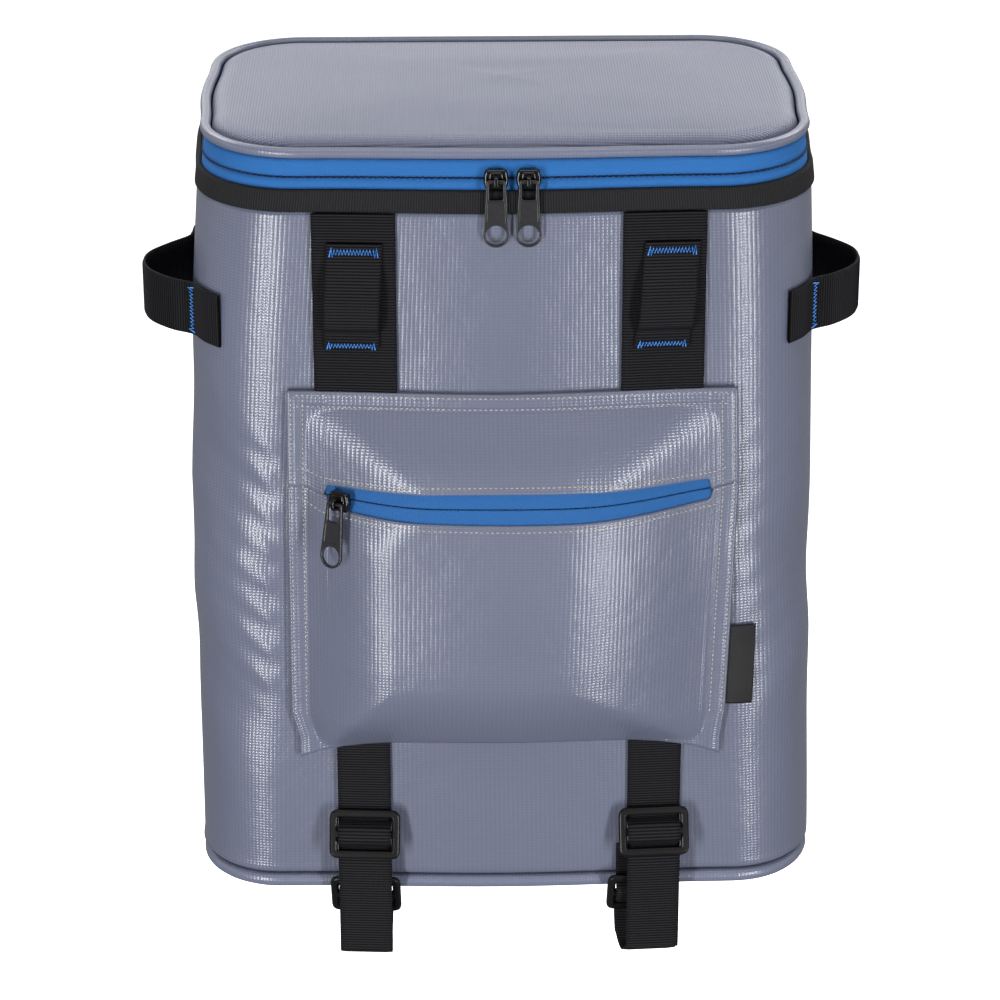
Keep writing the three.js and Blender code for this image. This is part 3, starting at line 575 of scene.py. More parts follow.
hinge_rows = spread(rim_height + 0.0003, pack_height - 0.0003, 16)
hinge = lay(spread(-hinge_half, hinge_half, 40), hinge_rows, hinge_point)
bmesh.ops.solidify(hinge, geom=hinge.faces[:], thickness=tape_thickness)
hinge = finished(hinge, "hinge_strip", tarpaulin)
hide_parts("lid_hinge")

# Lid
# A foam panel wrapped in a lighter coated fabric, domed a little and lower at the back, with a
# piped seam round its edge that joins it to the upper zip tape.
lid_cord = 0.0025
lid_rise = 0.0082
lid_crown = 0.0034
lid_fall = 0.0035
lid_round = 0.010
lid_cord_out = 0.0006 - lid_cord
lid_edge_out = lid_cord_out - lid_cord - 0.0003
lid_ring = cord_ring("lid_cord", lid_cord, lid_cord_out, pack_height + lid_cord, 150)
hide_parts("lid_piping")
lid_middle = Vector((plan_at(pack_height)["shift"], (front_plane + back_plane) / 2, 0))
lid_rows = [("under", share) for share in (0.0, 0.4, 0.8, 1.0)]
lid_rows += [("edge", share) for share in spread(0, 1, 14)]
lid_rows += [("dome", share) for share in spread(0.985, 0, 44)]


def lid_point(station, row):
    kind, share = row
    if kind == "under":
        edge = skin(*station, pack_height, lid_edge_out)
        flat = lid_middle.lerp(edge, share)
        flat.z = base_height + pack_height - 0.003
        return flat
    if kind == "edge":
        angle = share * math.pi / 2
        inset = lid_round * (1 - math.cos(angle))
        edge = skin(*station, pack_height, lid_edge_out - inset)
        fall = lid_fall * smooth((edge.y - front_plane) / pack_depth)
        edge.z = base_height + pack_height + (lid_rise - fall) * math.sin(angle) ** 0.8
        return edge
    edge = skin(*station, pack_height, lid_edge_out - lid_round)
    spot = lid_middle.lerp(edge, share)
    crown = lid_crown * (1 - share ** 2.2) - lid_fall * smooth((spot.y - front_plane) / pack_depth)
    drift = noise.noise(spot * 12) * 0.0007 * (1 - share ** 4)
    spot.z = base_height + pack_height + lid_rise + crown + drift
    return spot


def measure_flat(shape, axes):
    """Measures a panel's cloth straight across it, as it is cut."""
    measure = shape.loops.layers.uv["cloth"]
    for face in shape.faces:
        for loop in face.loops:
            loop[measure].uv = getattr(loop.vert.co, axes)


lid = lay(round_pack(146), lid_rows, lid_point, around=True)
measure_flat(lid, "xy")
lid_grey = (0.078, 0.087, 0.150)
lid_fabric = tarpaulin_finish("lid_tarpaulin", lid_grey, 0.0013, 0.0013, 0.00018, 0.0001)
lid_fabric.node_tree.nodes["Principled BSDF"].inputs["Coat Roughness"].default_value = 0.36
lid_top = finished(lid, "lid_top", lid_fabric)
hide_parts("lid_panel")

# Zip sliders and pull tabs
# Die-cast and painted black: a slider with a bail across its face, and a long tab with an eye
# for the bail, a sunk panel and a round hole at its end.
slider_black = (0.002, 0.002, 0.002)
pull_black = (0.009, 0.009, 0.011)
slider_thickness = 0.0034
slider_gap = 0.0003
hinge_out = 0.0059
bail_room = 0.0015
bail_bar = 0.0012
pull_length = 0.0315
pull_top = 0.0043
pull_low = 0.0058
pull_bar = 0.0008
pull_eye = (0.0062, 0.0076)
pull_hole = 0.0046
pocket_pull_tilt = math.radians(9)


def arc(x, z, radius, first, last, steps):
    turns = [math.radians(turn) for turn in spread(first, last, steps)]
    return [(x + radius * math.cos(turn), z + radius * math.sin(turn)) for turn in turns]


def rounded(corners, radius, steps=5):
    """An outline with round corners."""
    outline = []
    for i, corner in enumerate(corners):
        corner = Vector(corner)
        before = corner + (Vector(corners[i - 1]) - corner).normalized() * radius
        after = corner + (Vector(corners[(i + 1) % len(corners)]) - corner).normalized() * radius
        for share in spread(0, 1, steps):
            outline.append(before.lerp(corner, share).lerp(corner.lerp(after, share), share))
    return outline


def rectangle(left, right, low, high, radius):
    return rounded([(left, low), (right, low), (right, high), (left, high)], radius)


def plate(shape, outline, holes, thickness, rounding, lift=0.0):
    """Adds a plate in the x-z plane to a shape, its edges rounded inside its outline."""
    curve = bpy.data.curves.new("plate", "CURVE")
    curve.dimensions = "2D"
    curve.fill_mode = "BOTH"
    curve.extrude = thickness / 2 - rounding
    curve.bevel_depth = rounding
    curve.bevel_resolution = 2
    curve.offset = -rounding
    for loop in [outline, *holes]:
        spline = curve.splines.new("POLY")
        spline.points.add(len(loop) - 1)
        spline.use_cyclic_u = True
        for point, (x, z) in zip(spline.points, loop):
            point.co = (x, z, 0, 1)
    holder = bpy.data.objects.new("plate", curve)
    flat = bpy.data.meshes.new_from_object(holder)
    flat.transform(Matrix.Translation((0, lift, 0)) @ Matrix.Rotation(math.pi / 2, 4, "X"))
    shape.from_mesh(flat)
    bpy.data.objects.remove(holder)
    bpy.data.curves.remove(curve)
    bpy.data.meshes.remove(flat)


def enamel_finish(name, colour, roughness, grain):
    material, tree, shader = plain_finish(name, colour, roughness)
    shader.inputs["Specular IOR Level"].default_value = 0.25
    shader.inputs["Coat Weight"].default_value = 0.35
    shader.inputs["Coat Roughness"].default_value = 0.12
    place = cloudy(tree, shader, colour, 0.25, 400.0)[0]
    speck = add_node(tree, "ShaderNodeTexNoise", {"Vector": place, "Scale": 900.0, "Detail": 2.0})
    relief(tree, shader, speck.outputs["Fac"], grain)
    return material


slider_enamel = enamel_finish("slider_enamel", slider_black, 0.18, 0.00002)
pull_enamel = enamel_finish("pull_enamel", pull_black, 0.42, 0.00003)


def slider_shape():
    """y = 0 is the face of the tape behind it."""
    shape = bmesh.new()
    corners = [
        (-0.00464, -0.0047), (0.00464, -0.0047), (0.0058, 0),
        (0.00493, 0.0047), (-0.00493, 0.0047), (-0.0058, 0),
    ]
    middle = -slider_gap - slider_thickness / 2
    plate(shape, rounded(corners, 0.0018), [], slider_thickness, 0.0009, middle)
    crown = [(x * 0.62, z * 0.8) for x, z in corners]
    plate(shape, rounded(crown, 0.0012), [], slider_thickness, 0.0007, middle - 0.0005)
    bail = bmesh.new()
    face = slider_gap + slider_thickness
    reach = bail_room + bail_bar
    end = hinge_out + reach
    plate(bail, rectangle(face - 0.0008, end, -reach, reach, 0.0016),
          [rectangle(face, end - bail_bar, -bail_room, bail_room, 0.0005)[::-1]], 0.0018, 0.0004)
    bail.transform(Matrix.Rotation(-math.pi / 2, 4, "Z"))
    arch = bpy.data.meshes.new("bail")
    bail.to_mesh(arch)
    bail.free()
    shape.from_mesh(arch)
    bpy.data.meshes.remove(arch)
    return shape


def pull_outline(inset):
    top, low = pull_top - inset, pull_low - inset
    foot = pull_bar - pull_length + pull_low
    corner = 0.001
    right = arc(top - corner, pull_bar - inset - corner, corner, 90, 0, 4)
    ring = arc(0, foot, low, 0, -180, 28)
    left = arc(-top + corner, pull_bar - inset - corner, corner, 180, 90, 4)
    return right + ring + left


def pull_shape():
    """z = 0 is the hinge axis, in the middle of its top bar."""
    shape = bmesh.new()
    foot = pull_bar - pull_length + pull_low
    width, height = pull_eye
    eye = rectangle(-width / 2, width / 2, -pull_bar - height, -pull_bar, 0.0008)
    hole = arc(0, foot, pull_hole, 360, 12, 29)
    plate(shape, pull_outline(0.0), [eye[::-1], hole], 0.0009, 0.0001)
    panel_top = -pull_bar - height - 0.0009
    sunk = rounded([
        (-pull_top + 0.0005, foot + 0.0062), (pull_top - 0.0005, foot + 0.0062),
        (pull_top - 0.0008, panel_top), (-pull_top + 0.0008, panel_top),
    ], 0.0009)
    plate(shape, pull_outline(0.0), [eye[::-1], hole, sunk[::-1]], 0.0015, 0.00035)
    return shape


def set_zip_pull(pull_node, slider_node, tilt=0.0):
    hinge = next(each for each in frame["joints"] if each["name"] == pull_node + "_hinge")
    across = -Vector(hinge["axis"])
    turn = Matrix.Rotation(math.atan2(across.y, across.x), 4, "Z")
    place = Matrix.Translation(Vector(hinge["pos_m"])) @ turn
    slider = slider_shape()
    slider.transform(place @ Matrix.Translation((0, hinge_out, 0)))
    slider = finished(slider, slider_node.replace("slider", "zip_slider"), slider_enamel)
    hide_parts(slider_node)
    pull = pull_shape()
    pull.transform(place @ Matrix.Rotation(-tilt, 4, "X"))
    pull = finished(pull, pull_node + "_tab", pull_enamel, pull_node)
    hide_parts(pull_node)


set_zip_pull("lid_pull_left", "lid_slider_left")
set_zip_pull("lid_pull_right", "lid_slider_right")
set_zip_pull("pocket_pull", "pocket_slider", pocket_pull_tilt)

# Front webbing and gear loops
# Two wide strips of ribbed polypropylene webbing sewn down the front, each with a narrow strip
# tacked over it in blue thread so that it stands off as a loop.
webbing_black = (0.0034, 0.0034, 0.0040)
thread_blue = (0.050, 0.260, 0.780)
seat_gap = 0.0004
webbing_thickness = 0.0016
wide_webbing = 0.038
narrow_webbing = 0.0254
webbing_spacing = 0.140
pocket_top = 0.2618
gear_loop_drop = 0.0135
gear_loop_length = 0.050
gear_loop_stand = 0.0058
rib_pitch = 0.00135
rib_relief = 0.00028
thread_radius = 0.00034
thread_out = webbing_thickness + 0.0004
tack_width = 0.022
# How far down the loop each bar tack lies, and how tall its stitches are.
gear_tack_rows = ((0.0038, 0.0026), (0.0486, 0.0020))


def webbing_finish(name, colour):
    """Each rib is a row of tight black loops: their tops are painted lighter as painted highlight, the
    valleys between them darker as painted shade.
    """
    material, tree, shader = plain_finish(name, colour, 0.62)
    shader.inputs["Specular IOR Level"].default_value = 0.06
    u, v = cloth_axes(tree)
    rows = ribs(tree, v, rib_pitch)
    loops = maths(tree, "ADD", 0.45, maths(tree, "MULTIPLY", ribs(tree, u, 0.0006), 0.55))
    weave = maths(tree, "MULTIPLY", maths(tree, "POWER", rows, 1.6), loops)
    # Painted highlight on the rib tops and painted shade between the ribs.
    shades(tree, shader, weave, colour, 0.1, 6.0)
    relief(tree, shader, weave, 0.00025)
    return material


webbing = webbing_finish("webbing", webbing_black)
blue_thread, thread_tree, thread_shader = plain_finish("blue_thread", thread_blue, 0.55)
cloudy(thread_tree, thread_shader, thread_blue, 0.3, 900.0)


def strap(width, length, place):
    """Ribbed webbing: place takes how far across and along it a point is, and how far out."""
    half = width / 2
    upper = [(across, 1) for across in spread(-half, half, 18)]
    under = [(across, 0) for across in spread(half, -half, 8)]
    section = [*upper, *under, upper[0]]

    def point(section_point, along):
        across, face = section_point
        edge = smooth((half - abs(across)) / 0.0012)
        ridge = rib_relief * edge * abs(math.sin(math.pi * along / rib_pitch)) if face else 0
        round_off = -0.0003 * (1 - edge) if face else 0.0003 * (1 - edge)
        return place(across, along, face * webbing_thickness + ridge + round_off)

    rows = spread(0, length, round(length / rib_pitch * 4))
    cloth = lay(section, rows, point, around=True)
    measure = cloth.loops.layers.uv["cloth"]
    lengths = distances([point(section[9], along) for along in rows])
    for face in cloth.faces:
        for loop in face.loops:
            loop[measure].uv.y *= length / lengths[-1]
    close_ends(cloth)
    return cloth


def thread(shape, points):
    """Adds a closed run of thread along a line of points to a shape."""
    rings = []
    for i, point in enumerate(points):
        along = (points[min(i + 1, len(points) - 1)] - points[max(i - 1, 0)]).normalized()
        turn = along.to_track_quat("Z", "Y").to_matrix().to_4x4()
        ring = bmesh.ops.create_circle(
            shape, segments=5, radius=thread_radius, cap_ends=i in (0, len(points) - 1),
            matrix=Matrix.Translation(point) @ turn,
        )
        edges = {edge for vertex in ring["verts"] for edge in vertex.link_edges}
        rings.append(list(edges))
    for before, after in zip(rings, rings[1:]):
        bmesh.ops.bridge_loops(shape, edges=before + after)


def bar_tack(shape, place, width, height, count):
    """A zig-zag of thread, taller at its two ends."""
    points = []
    for i in range(count + 1):
        share = i / count
        tall = height * (1.7 if share < 0.08 or share > 0.92 else 1.0)
        up = tall / 2 if i % 2 else -tall / 2
        points.append(place((share - 0.5) * width, up))
    thread(shape, points)


def gear_loop_rise(down):
    return smooth((down - 0.1) / 0.45) * smooth((0.88 - down) / 0.14)


tacks = bmesh.new()
for word, side, lean_top, lean_low in (("left", -1, 0.0005, -0.0015), ("right", 1, 0.0035, -0.001)):
    middle = side * webbing_spacing / 2

    def on_strip(across, along, out):
        return on_front(middle + across, rim_height - along, seat_gap + out)

    def on_loop(across, along, out):
        down = along / gear_loop_length
        x = middle + lerp(lean_top, lean_low, down) + across
        stand = webbing_thickness + 0.0003 + gear_loop_rise(down) * gear_loop_stand
        return on_front(x, rim_height - gear_loop_drop - along, seat_gap + stand + out)

    strip = finished(strap(wide_webbing, rim_height - pocket_top - 0.0003, on_strip),
                     f"webbing_strip_{word}", webbing)
    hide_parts(f"front_webbing_{word}")
    loop = strap(narrow_webbing, gear_loop_length, on_loop)
    loop = finished(loop, f"tacked_loop_{word}", webbing)
    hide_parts(f"gear_loop_{word}")
    for drop, height in gear_tack_rows:
        bar_tack(
            tacks,
            lambda across, up: on_loop(across, drop - up, thread_out),
            tack_width, height, 30,
        )
finished(tacks, "gear_loop_tacks", blue_thread)

# Front pocket
# Two panels of the same fabric, hemmed and sewn on flat round their edges, so that the pocket
# stands full in the middle and ridges run in from its corners to the zip between the panels.
pocket_width = 0.2065
pocket_bottom = 0.0833
pocket_height = pocket_top - pocket_bottom
pocket_shift = 0.0015
pocket_depth = 0.023
pocket_wall = 0.0017
pocket_seat = 0.0009
pocket_hem = 0.008
# How far in from the edge the two rows of stitches in a hem lie.
hem_rows = (0.0018, 0.0072)
pocket_top_slope = 0.042
pocket_side_slopes = (0.066, 0.042, 0.072)
pocket_low_slope = 0.040
pocket_droop = 0.0095
pocket_ridge = 9
pocket_zip = pocket_top - 0.0496
zip_left = pocket_shift - pocket_width / 2 + 0.01675
zip_right = pocket_shift + pocket_width / 2 - 0.01175
zip_open = 0.0152
pocket_edges = [
    {"down": 0, "left": -0.5, "right": 0.5},
    {"down": 0.29, "left": -0.504, "right": 0.508},
    {"down": 0.92, "left": -0.508, "right": 0.49},
    {"down": 1, "left": -0.49, "right": 0.48},
]
pocket_lift = [
    {"down": 0, "lift": 0.7},
    {"down": 0.28, "lift": 0.78},
    {"down": 0.5, "lift": 0.9},
    {"down": 0.74, "lift": 1},
    {"down": 1, "lift": 1},
]


def pocket_edge(word, height):
    down = (pocket_top - height) / pocket_height
    return pocket_shift + pocket_width * read(pocket_edges, "down", word, down)


def pocket_low(x):
    return pocket_bottom - pocket_droop * abs(2 * (x - pocket_shift) / pocket_width) ** 4


def pocket_bulge(x, height):
    """It rises off the hems in facets that meet in ridges from the corners."""
    def near(distance, slope):
        return 1 - min(max((distance - pocket_hem) / slope, 0), 1)

    edge = min(x - pocket_edge("left", height), pocket_edge("right", height) - x)
    low_slope = pocket_side_slopes[1 if x < pocket_shift else 2]
    side_slope = lerp(pocket_side_slopes[0], low_slope, smooth((pocket_zip + 0.005 - height) / 0.03))
    sideways = near(edge, side_slope)
    up = near(pocket_top - height, pocket_top_slope)
    down = near(height - pocket_low(x) + pocket_hem, pocket_low_slope)
    rise = sideways ** pocket_ridge + up ** pocket_ridge + down ** pocket_ridge
    full = 1 - min(rise ** (1 / pocket_ridge), 1)
    lift = read(pocket_lift, "down", "lift", (pocket_top - height) / pocket_height)
    return pocket_depth * lift * math.sin(math.pi / 2 * full)


def hem_relief(x, height):
    """The folded hems stand a little proud, with a groove along each row of stitches."""
    edge = min(x - pocket_edge("left", height), pocket_edge("right", height) - x, pocket_top - height)
    thick = 0.0005 * smooth((pocket_hem - edge) / 0.0008)
    groove = sum(0.0004 * math.exp(-((edge - inset) / 0.0006) ** 2) for inset in hem_rows)
    return thick - groove


def pocket_face(x, height, out=0.0):
    point = on_front(x, height, pocket_seat + pocket_wall + hem_relief(x, height) + out)
    point.x = x
    drift = noise.noise(Vector((x * 16, height * 16, 5.0))) * 0.0012
    bulge = pocket_bulge(x, height)
    point.y -= bulge + drift * min(bulge / 0.006, 1)
    return point


def pocket_skin(x, height, out=0.0):
    """A point off the pocket's face, measured square to it."""
    step = 0.0005
    right = pocket_face(x + step, height) - pocket_face(x - step, height)
    up = pocket_face(x, height + step) - pocket_face(x, height - step)
    return pocket_face(x, height) + right.cross(up).normalized() * out


def slot_half(x):
    """Half the height of the opening for the zip: nothing beyond its ends."""
    share = (x - zip_left) / (zip_right - zip_left)
    if share <= 0 or share >= 1:
        return 0.0
    end = min(share, 1 - share) * (zip_right - zip_left)
    full = zip_open / 2 * (0.7 + 0.3 * 4 * share * (1 - share))
    return full * min(end / 0.0012, 1) ** 0.5


def zip_seam(x):
    """The line where the two panels meet: it lifts a little beyond the zip's ends."""
    past = max(zip_left - x, x - zip_right, 0)
    return pocket_zip + 0.0028 * smooth(past / 0.012)


def panel(first, last, name, columns, rows):
    """One panel, with its edges turned in. A share past 0 or 1 is a step of the turned edge."""
    sink = {-2: 1.0, -1: 0.45, 2: 0.45, 3: 1.0}

    def point(column, row):
        u, v = min(max(column, 0), 1), min(max(row, 0), 1)
        rough = lerp(pocket_top, pocket_bottom, 0.14 if first == "top" else 0.6)
        x = lerp(pocket_edge("left", rough), pocket_edge("right", rough), u)
        top = pocket_top if first == "top" else zip_seam(x) - slot_half(x)
        low = pocket_low(x) if last == "bottom" else zip_seam(x) + slot_half(x)
        height = lerp(top, low, v)
        x = lerp(pocket_edge("left", height), pocket_edge("right", height), u)
        under = max(sink.get(column, 0), sink.get(row, 0)) * (pocket_wall + pocket_seat)
        return pocket_skin(x, height, -under)

    cloth = lay([-2, -1, *columns, 2, 3], [-2, -1, *rows, 2, 3], point)
    return finished(cloth, name, tarpaulin)


pocket_columns = spread(0, 0.05, 8)[:-1] + spread(0.05, 0.1, 10)[:-1] + spread(0.1, 0.9, 110)
pocket_columns += spread(0.9, 1, 20)[1:]
upper_panel = panel("top", "zip", "pocket_upper_panel", pocket_columns, spread(0, 1, 56))
lower_panel = panel("zip", "bottom", "pocket_lower_panel", pocket_columns, spread(0, 1, 100))
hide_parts("front_pocket")
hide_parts("front_pocket")

# Pocket zip
# The same blue tape sewn behind the slot, its coil hidden behind, with its sewing along the
# middle in navy thread.
tape_gap = 0.0009
tape_width = 0.0115
tape_overlap = 0.002
coil_navy = (0.010, 0.022, 0.070)
# Painted shade: this tape's blue is painted darker than the rim's, for the shade in the slot.
shaded_pocket_blue = tape_finish("pocket_zip_tape", (0.016, 0.089, 0.260))


def pocket_tape(name, side, node):
    rows = spread(0.0003, tape_width, 14)

    def point(x, row):
        under = pocket_wall + tape_gap
        return pocket_skin(x, pocket_zip + side * row, -under)

    cloth = lay(spread(zip_left - tape_overlap, zip_right + tape_overlap, 110), rows, point)
    bmesh.ops.solidify(cloth, geom=cloth.faces[:], thickness=-side * tape_thickness)
    made = finished(cloth, name, shaded_pocket_blue)
    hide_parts(node)


pocket_tape("pocket_upper_tape", 1, "pocket_tape_upper")
pocket_tape("pocket_lower_tape", -1, "pocket_tape_lower")
coil_thread, coil_tree, coil_shader = plain_finish("coil_thread", coil_navy, 0.5)
cloudy(coil_tree, coil_shader, coil_navy, 0.4, 1200.0)


def coil_sewing(name, places, count, size, node):
    """Short stitches in a zig-zag over the line where the tapes meet, with the coil behind."""
    shape = bmesh.new()
    for i in range(count):
        spot, along, out = places(i / count)
        across = along.cross(out)
        reach, run = size
        lean = across * reach * (1 if i % 2 else -1) + along * run
        line = [spot - lean, spot + out * 0.0003, spot + lean]
        thread(shape, line)
    made = finished(shape, name, coil_thread)
    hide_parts(node)


def pocket_coil_place(share):
    x = lerp(zip_left + 0.001, zip_right - 0.001, share)
    under = pocket_wall + tape_gap - 0.0004
    spot = pocket_skin(x, pocket_zip, -under)
    along = (pocket_skin(x + 0.001, pocket_zip, -under) - spot).normalized()
    out = along.cross(Vector((0, 0, -1))).normalized()
    return spot, along, -out if out.y > 0 else out


coil_sewing("pocket_coil_sewing", pocket_coil_place, 130, (0.0007, 0.0006), "pocket_coil")


def lid_coil_place(share):
    turn = turn_at(abs(2 * share - 1) * zip_end)
    side = -1 if share < 0.5 else 1
    spot = skin(side, turn, coil_height, -tape_inset)
    out = skin(side, turn, coil_height, 0.001 - tape_inset) - spot
    out.normalize()
    return spot, Vector((0, 0, 1)).cross(out), out


coil_sewing("lid_coil_sewing", lid_coil_place, 520, (0.0003, 0.0005), "zip_coil")

# Stitching
# Warm grey thread in even stitches, laid by machine: two rows along the pocket's hems, one on each
# side of its zip, and one across its foot.
thread_grey = (0.31, 0.29, 0.275)
grey_thread, grey_tree, grey_shader = plain_finish("grey_thread", thread_grey, 0.6)
cloudy(grey_tree, grey_shader, thread_grey, 0.35, 700.0)
stitch_pitch = 0.0024
stitch_length = 0.0019
stitch_out = 0.0001


def run_stitches(shape, points):
    """Stitches laid end to end along a line of points, each sunk a little at its ends."""
    run = distances(points)
    count = int(run[-1] / stitch_pitch)
    k = 0
    for i in range(count):
        along = (i + 0.5) * stitch_pitch
        while run[k + 1] < along:
            k += 1
        spot = points[k].lerp(points[k + 1], (along - run[k]) / (run[k + 1] - run[k]))
        turn = (points[k + 1] - points[k]).to_track_quat("X", "Z").to_matrix().to_4x4()
        size = Matrix.Diagonal((stitch_length / 2, thread_radius, thread_radius, 1))
        place = Matrix.Translation(spot) @ turn @ size
        bmesh.ops.create_icosphere(shape, subdivisions=1, radius=1, matrix=place)


pocket_stitches = bmesh.new()
for drop in hem_rows:
    reach = pocket_width / 2 - 0.0035
    run_stitches(pocket_stitches, [
        pocket_skin(x, pocket_top - drop, stitch_out)
        for x in spread(pocket_shift - reach, pocket_shift + reach, 90)
    ])
for word, side in (("left", 1), ("right", -1)):
    for inset in hem_rows:
        run_stitches(pocket_stitches, [
            pocket_skin(pocket_edge(word, height) + side * inset, height, stitch_out)
            for height in spread(pocket_top - 0.003, pocket_bottom + 0.012, 80)
        ])


def beside_zip(side):
    """A line of stitches past both ends of the zip, spreading out to the pocket's side hems."""
    line = []
    reach = pocket_width / 2 - 0.003
    for x in spread(pocket_shift - reach, pocket_shift + reach, 90):
        past = max(zip_left - x, x - zip_right, 0)
        spread_out = smooth(past / 0.016) * (0.0045 if side > 0 else -0.0012)
        inner = min(max(x, zip_left + 0.003), zip_right - 0.003)
        height = zip_seam(x) + side * (slot_half(inner) * smooth(1 - past / 0.02) + 0.0030) + spread_out
        line.append(pocket_skin(x, height, stitch_out))
    return line


run_stitches(pocket_stitches, beside_zip(1))
run_stitches(pocket_stitches, beside_zip(-1))
run_stitches(pocket_stitches, [
    on_front(x, pocket_low(x) + 0.0008, pocket_seat + pocket_wall + 0.0002)
    for x in spread(-0.074, 0.078, 70)
])
finished(pocket_stitches, "pocket_stitches", grey_thread)

# Side label
# A strip of black satin, folded in two and left bare. Its ends are caught in the seam down the
# pocket's right-hand side, so that the fold stands out past the hem.
label_black = (0.006, 0.006, 0.007)
label_width = 0.012
label_height = 0.0405
label_low = pocket_bottom + 0.0165
label_satin, label_tree, label_shader = plain_finish("label_satin", label_black, 0.42)
label_shader.inputs["Specular IOR Level"].default_value = 0.25
label_u, label_v = cloth_axes(label_tree)
satin = maths(label_tree, "MULTIPLY", ribs(label_tree, label_u, 0.0004), ribs(label_tree, label_v, 0.0006))
relief(label_tree, label_shader, satin, 0.00008)


def label_point(share, up):
    height = label_low + up * label_height
    x = pocket_edge("right", height) - 0.0008 + share * (label_width + 0.001)
    lift = 0.0008 + 0.0012 * share * (1 - share) + 0.0006 * share * math.sin(up * 5)
    return on_front(x, height, seat_gap + lift)


label = lay(spread(0, 1, 16), spread(0, 1, 40), label_point)
bmesh.ops.solidify(label, geom=label.faces[:], thickness=0.0005)
bmesh.ops.recalc_face_normals(label, faces=label.faces)
label = finished(label, "side_label", label_satin)
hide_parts("label_tag")

# Side loops
# Narrow webbing looped out from each front corner, doubled under at its front end and sewn down
# at both ends with a blue bar tack.
side_loop_height = rim_height - 0.056
side_loop_reach = 0.021
side_loop_route = [
    (1.46, 0), (1.6, 0), (1.74, 0), (1.8, 0.12), (1.88, 0.42), (2.0, 0.82),
    (2.14, 1), (2.28, 0.9), (2.4, 0.5), (2.5, 0.1), (2.56, 0), (2.68, 0),
]


def flow(points, steps):
    """A smooth line through the points."""
    line = []
    for i in range(len(points) - 1):
        a, b = points[max(i - 1, 0)], points[i]
        c, d = points[i + 1], points[min(i + 2, len(points) - 1)]
        for t in spread(0, 1, steps)[:-1]:
            bend = (2 * a - 5 * b + 4 * c - d) * t * t + (3 * b - a - 3 * c + d) * t ** 3
            line.append((2 * b + (c - a) * t + bend) / 2)
    return [*line, points[-1]]


def along_line(line, across):
    """Turns a line of points into a place for a strap: its underside faces the line's back."""
    run = distances(line)

    def place(sideways, along, out):
        k = min(max(bisect_left(run, along) - 1, 0), len(line) - 2)
        share = (along - run[k]) / (run[k + 1] - run[k])
        before = (line[k + 1] - line[max(k - 1, 0)]).normalized()
        after = (line[min(k + 2, len(line) - 1)] - line[k]).normalized()
        tangent = before.lerp(after, share).normalized()
        normal = tangent.cross(across).normalized()
        spot = line[k].lerp(line[k + 1], share)
        return spot + across * sideways + normal * out

    return place, run[-1]


side_tacks = bmesh.new()
for word, side in (("left", -1), ("right", 1)):
    route = [
        skin(side, turn, side_loop_height, seat_gap + stand * side_loop_reach)
        for turn, stand in side_loop_route
    ]
    place, length = along_line(flow(route, 10), Vector((0, 0, side)))
    loop = finished(strap(narrow_webbing, length, place), f"side_webbing_{word}", webbing)
    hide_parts(f"side_loop_{word}")
    for at in (0.0215, length - 0.004):
        bar_tack(
            side_tacks,
            lambda up, across: place(up, at + across, thread_out),
            tack_width, 0.0030, 24,
        )
finished(side_tacks, "side_loop_tacks", blue_thread)

# Lower straps and their sliders
# Narrow webbing that comes out under the pocket, threads down through one slider, hangs below
# the base in a loop and threads up through a second slider, where it is sewn to the wall.
glide_width = 0.034
glide_height = 0.024
glide_thickness = 0.0028
glide_bar = 0.004
glide_middle = 0.0035
glide_gap = 0.00035
glide_bend = 0.0019
strap_seat = 0.0008
front_run = 0.0109
loop_drop = 0.0247
loop_radius = 0.0065
strap_stand = glide_thickness / 2 + glide_gap + webbing_thickness / 2
lower_strap_spacing = 0.139
rear_skew = -0.005
# Where the sliders stand: out from the wall and above the base.
front_glide_place = (0.0084, 0.035)
rear_glide_place = (0.003, -0.001)
front_glide_tilt = math.radians(18)
rear_glide_tilt = math.radians(-20)
# Heights where the strap leaves the wall, hangs free, meets the wall again and ends.
strap_leaves = 0.047
strap_hangs = 0.0117
strap_returns = 0.016
strap_ends = 0.025
glide_black = (0.004, 0.004, 0.004)
moulded, moulded_tree, moulded_shader = plain_finish("moulded_black", glide_black, 0.3)
moulded_shader.inputs["Specular IOR Level"].default_value = 0.2
moulded_place = cloudy(moulded_tree, moulded_shader, glide_black, 0.2, 60.0)[0]
grain = add_node(moulded_tree, "ShaderNodeTexNoise", {
    "Vector": moulded_place, "Scale": 1400.0, "Detail": 2.0,
})
relief(moulded_tree, moulded_shader, grain.outputs["Fac"], 0.00004)


def glide_frame(centre, across, tilt):
    side = across.normalized()
    forward = -Vector((0, 0, 1)).cross(side)
    face = forward * math.cos(tilt)
    face.z = math.sin(tilt)
    return {"centre": centre, "side": side, "face": face, "up": face.cross(side)}


def glide_shape():
    shape = bmesh.new()
    half, tall = glide_width / 2, glide_height / 2
    slots = []
    for low, high in ((-tall + glide_bar, -glide_middle / 2), (glide_middle / 2, tall - glide_bar)):
        slots.append(rectangle(glide_bar - half, half - glide_bar, low, high, 0.0008)[::-1])
    plate(shape, rectangle(-half, half, -tall, tall, 0.0045), slots, glide_thickness, 0.0011)
    return shape


def set_glide(name, frame_at, node):
    shape = glide_shape()
    basis = Matrix((frame_at["side"], -frame_at["face"], frame_at["up"])).transposed().to_4x4()
    shape.transform(Matrix.Translation(frame_at["centre"]) @ basis)
    made = finished(shape, name, moulded)
    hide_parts(node)


def strap_point(frame_at, out, up):
    return frame_at["centre"] + frame_at["face"] * out + frame_at["up"] * up


def weave_through(frame_at):
    slot_middle = (glide_height / 2 - glide_bar + glide_middle / 2) / 2
    return [
        strap_point(frame_at, -strap_stand, slot_middle + glide_bend),
        strap_point(frame_at, strap_stand, slot_middle - glide_bend),
        strap_point(frame_at, strap_stand, glide_bend - slot_middle),
        strap_point(frame_at, -strap_stand, -slot_middle - glide_bend),
    ]


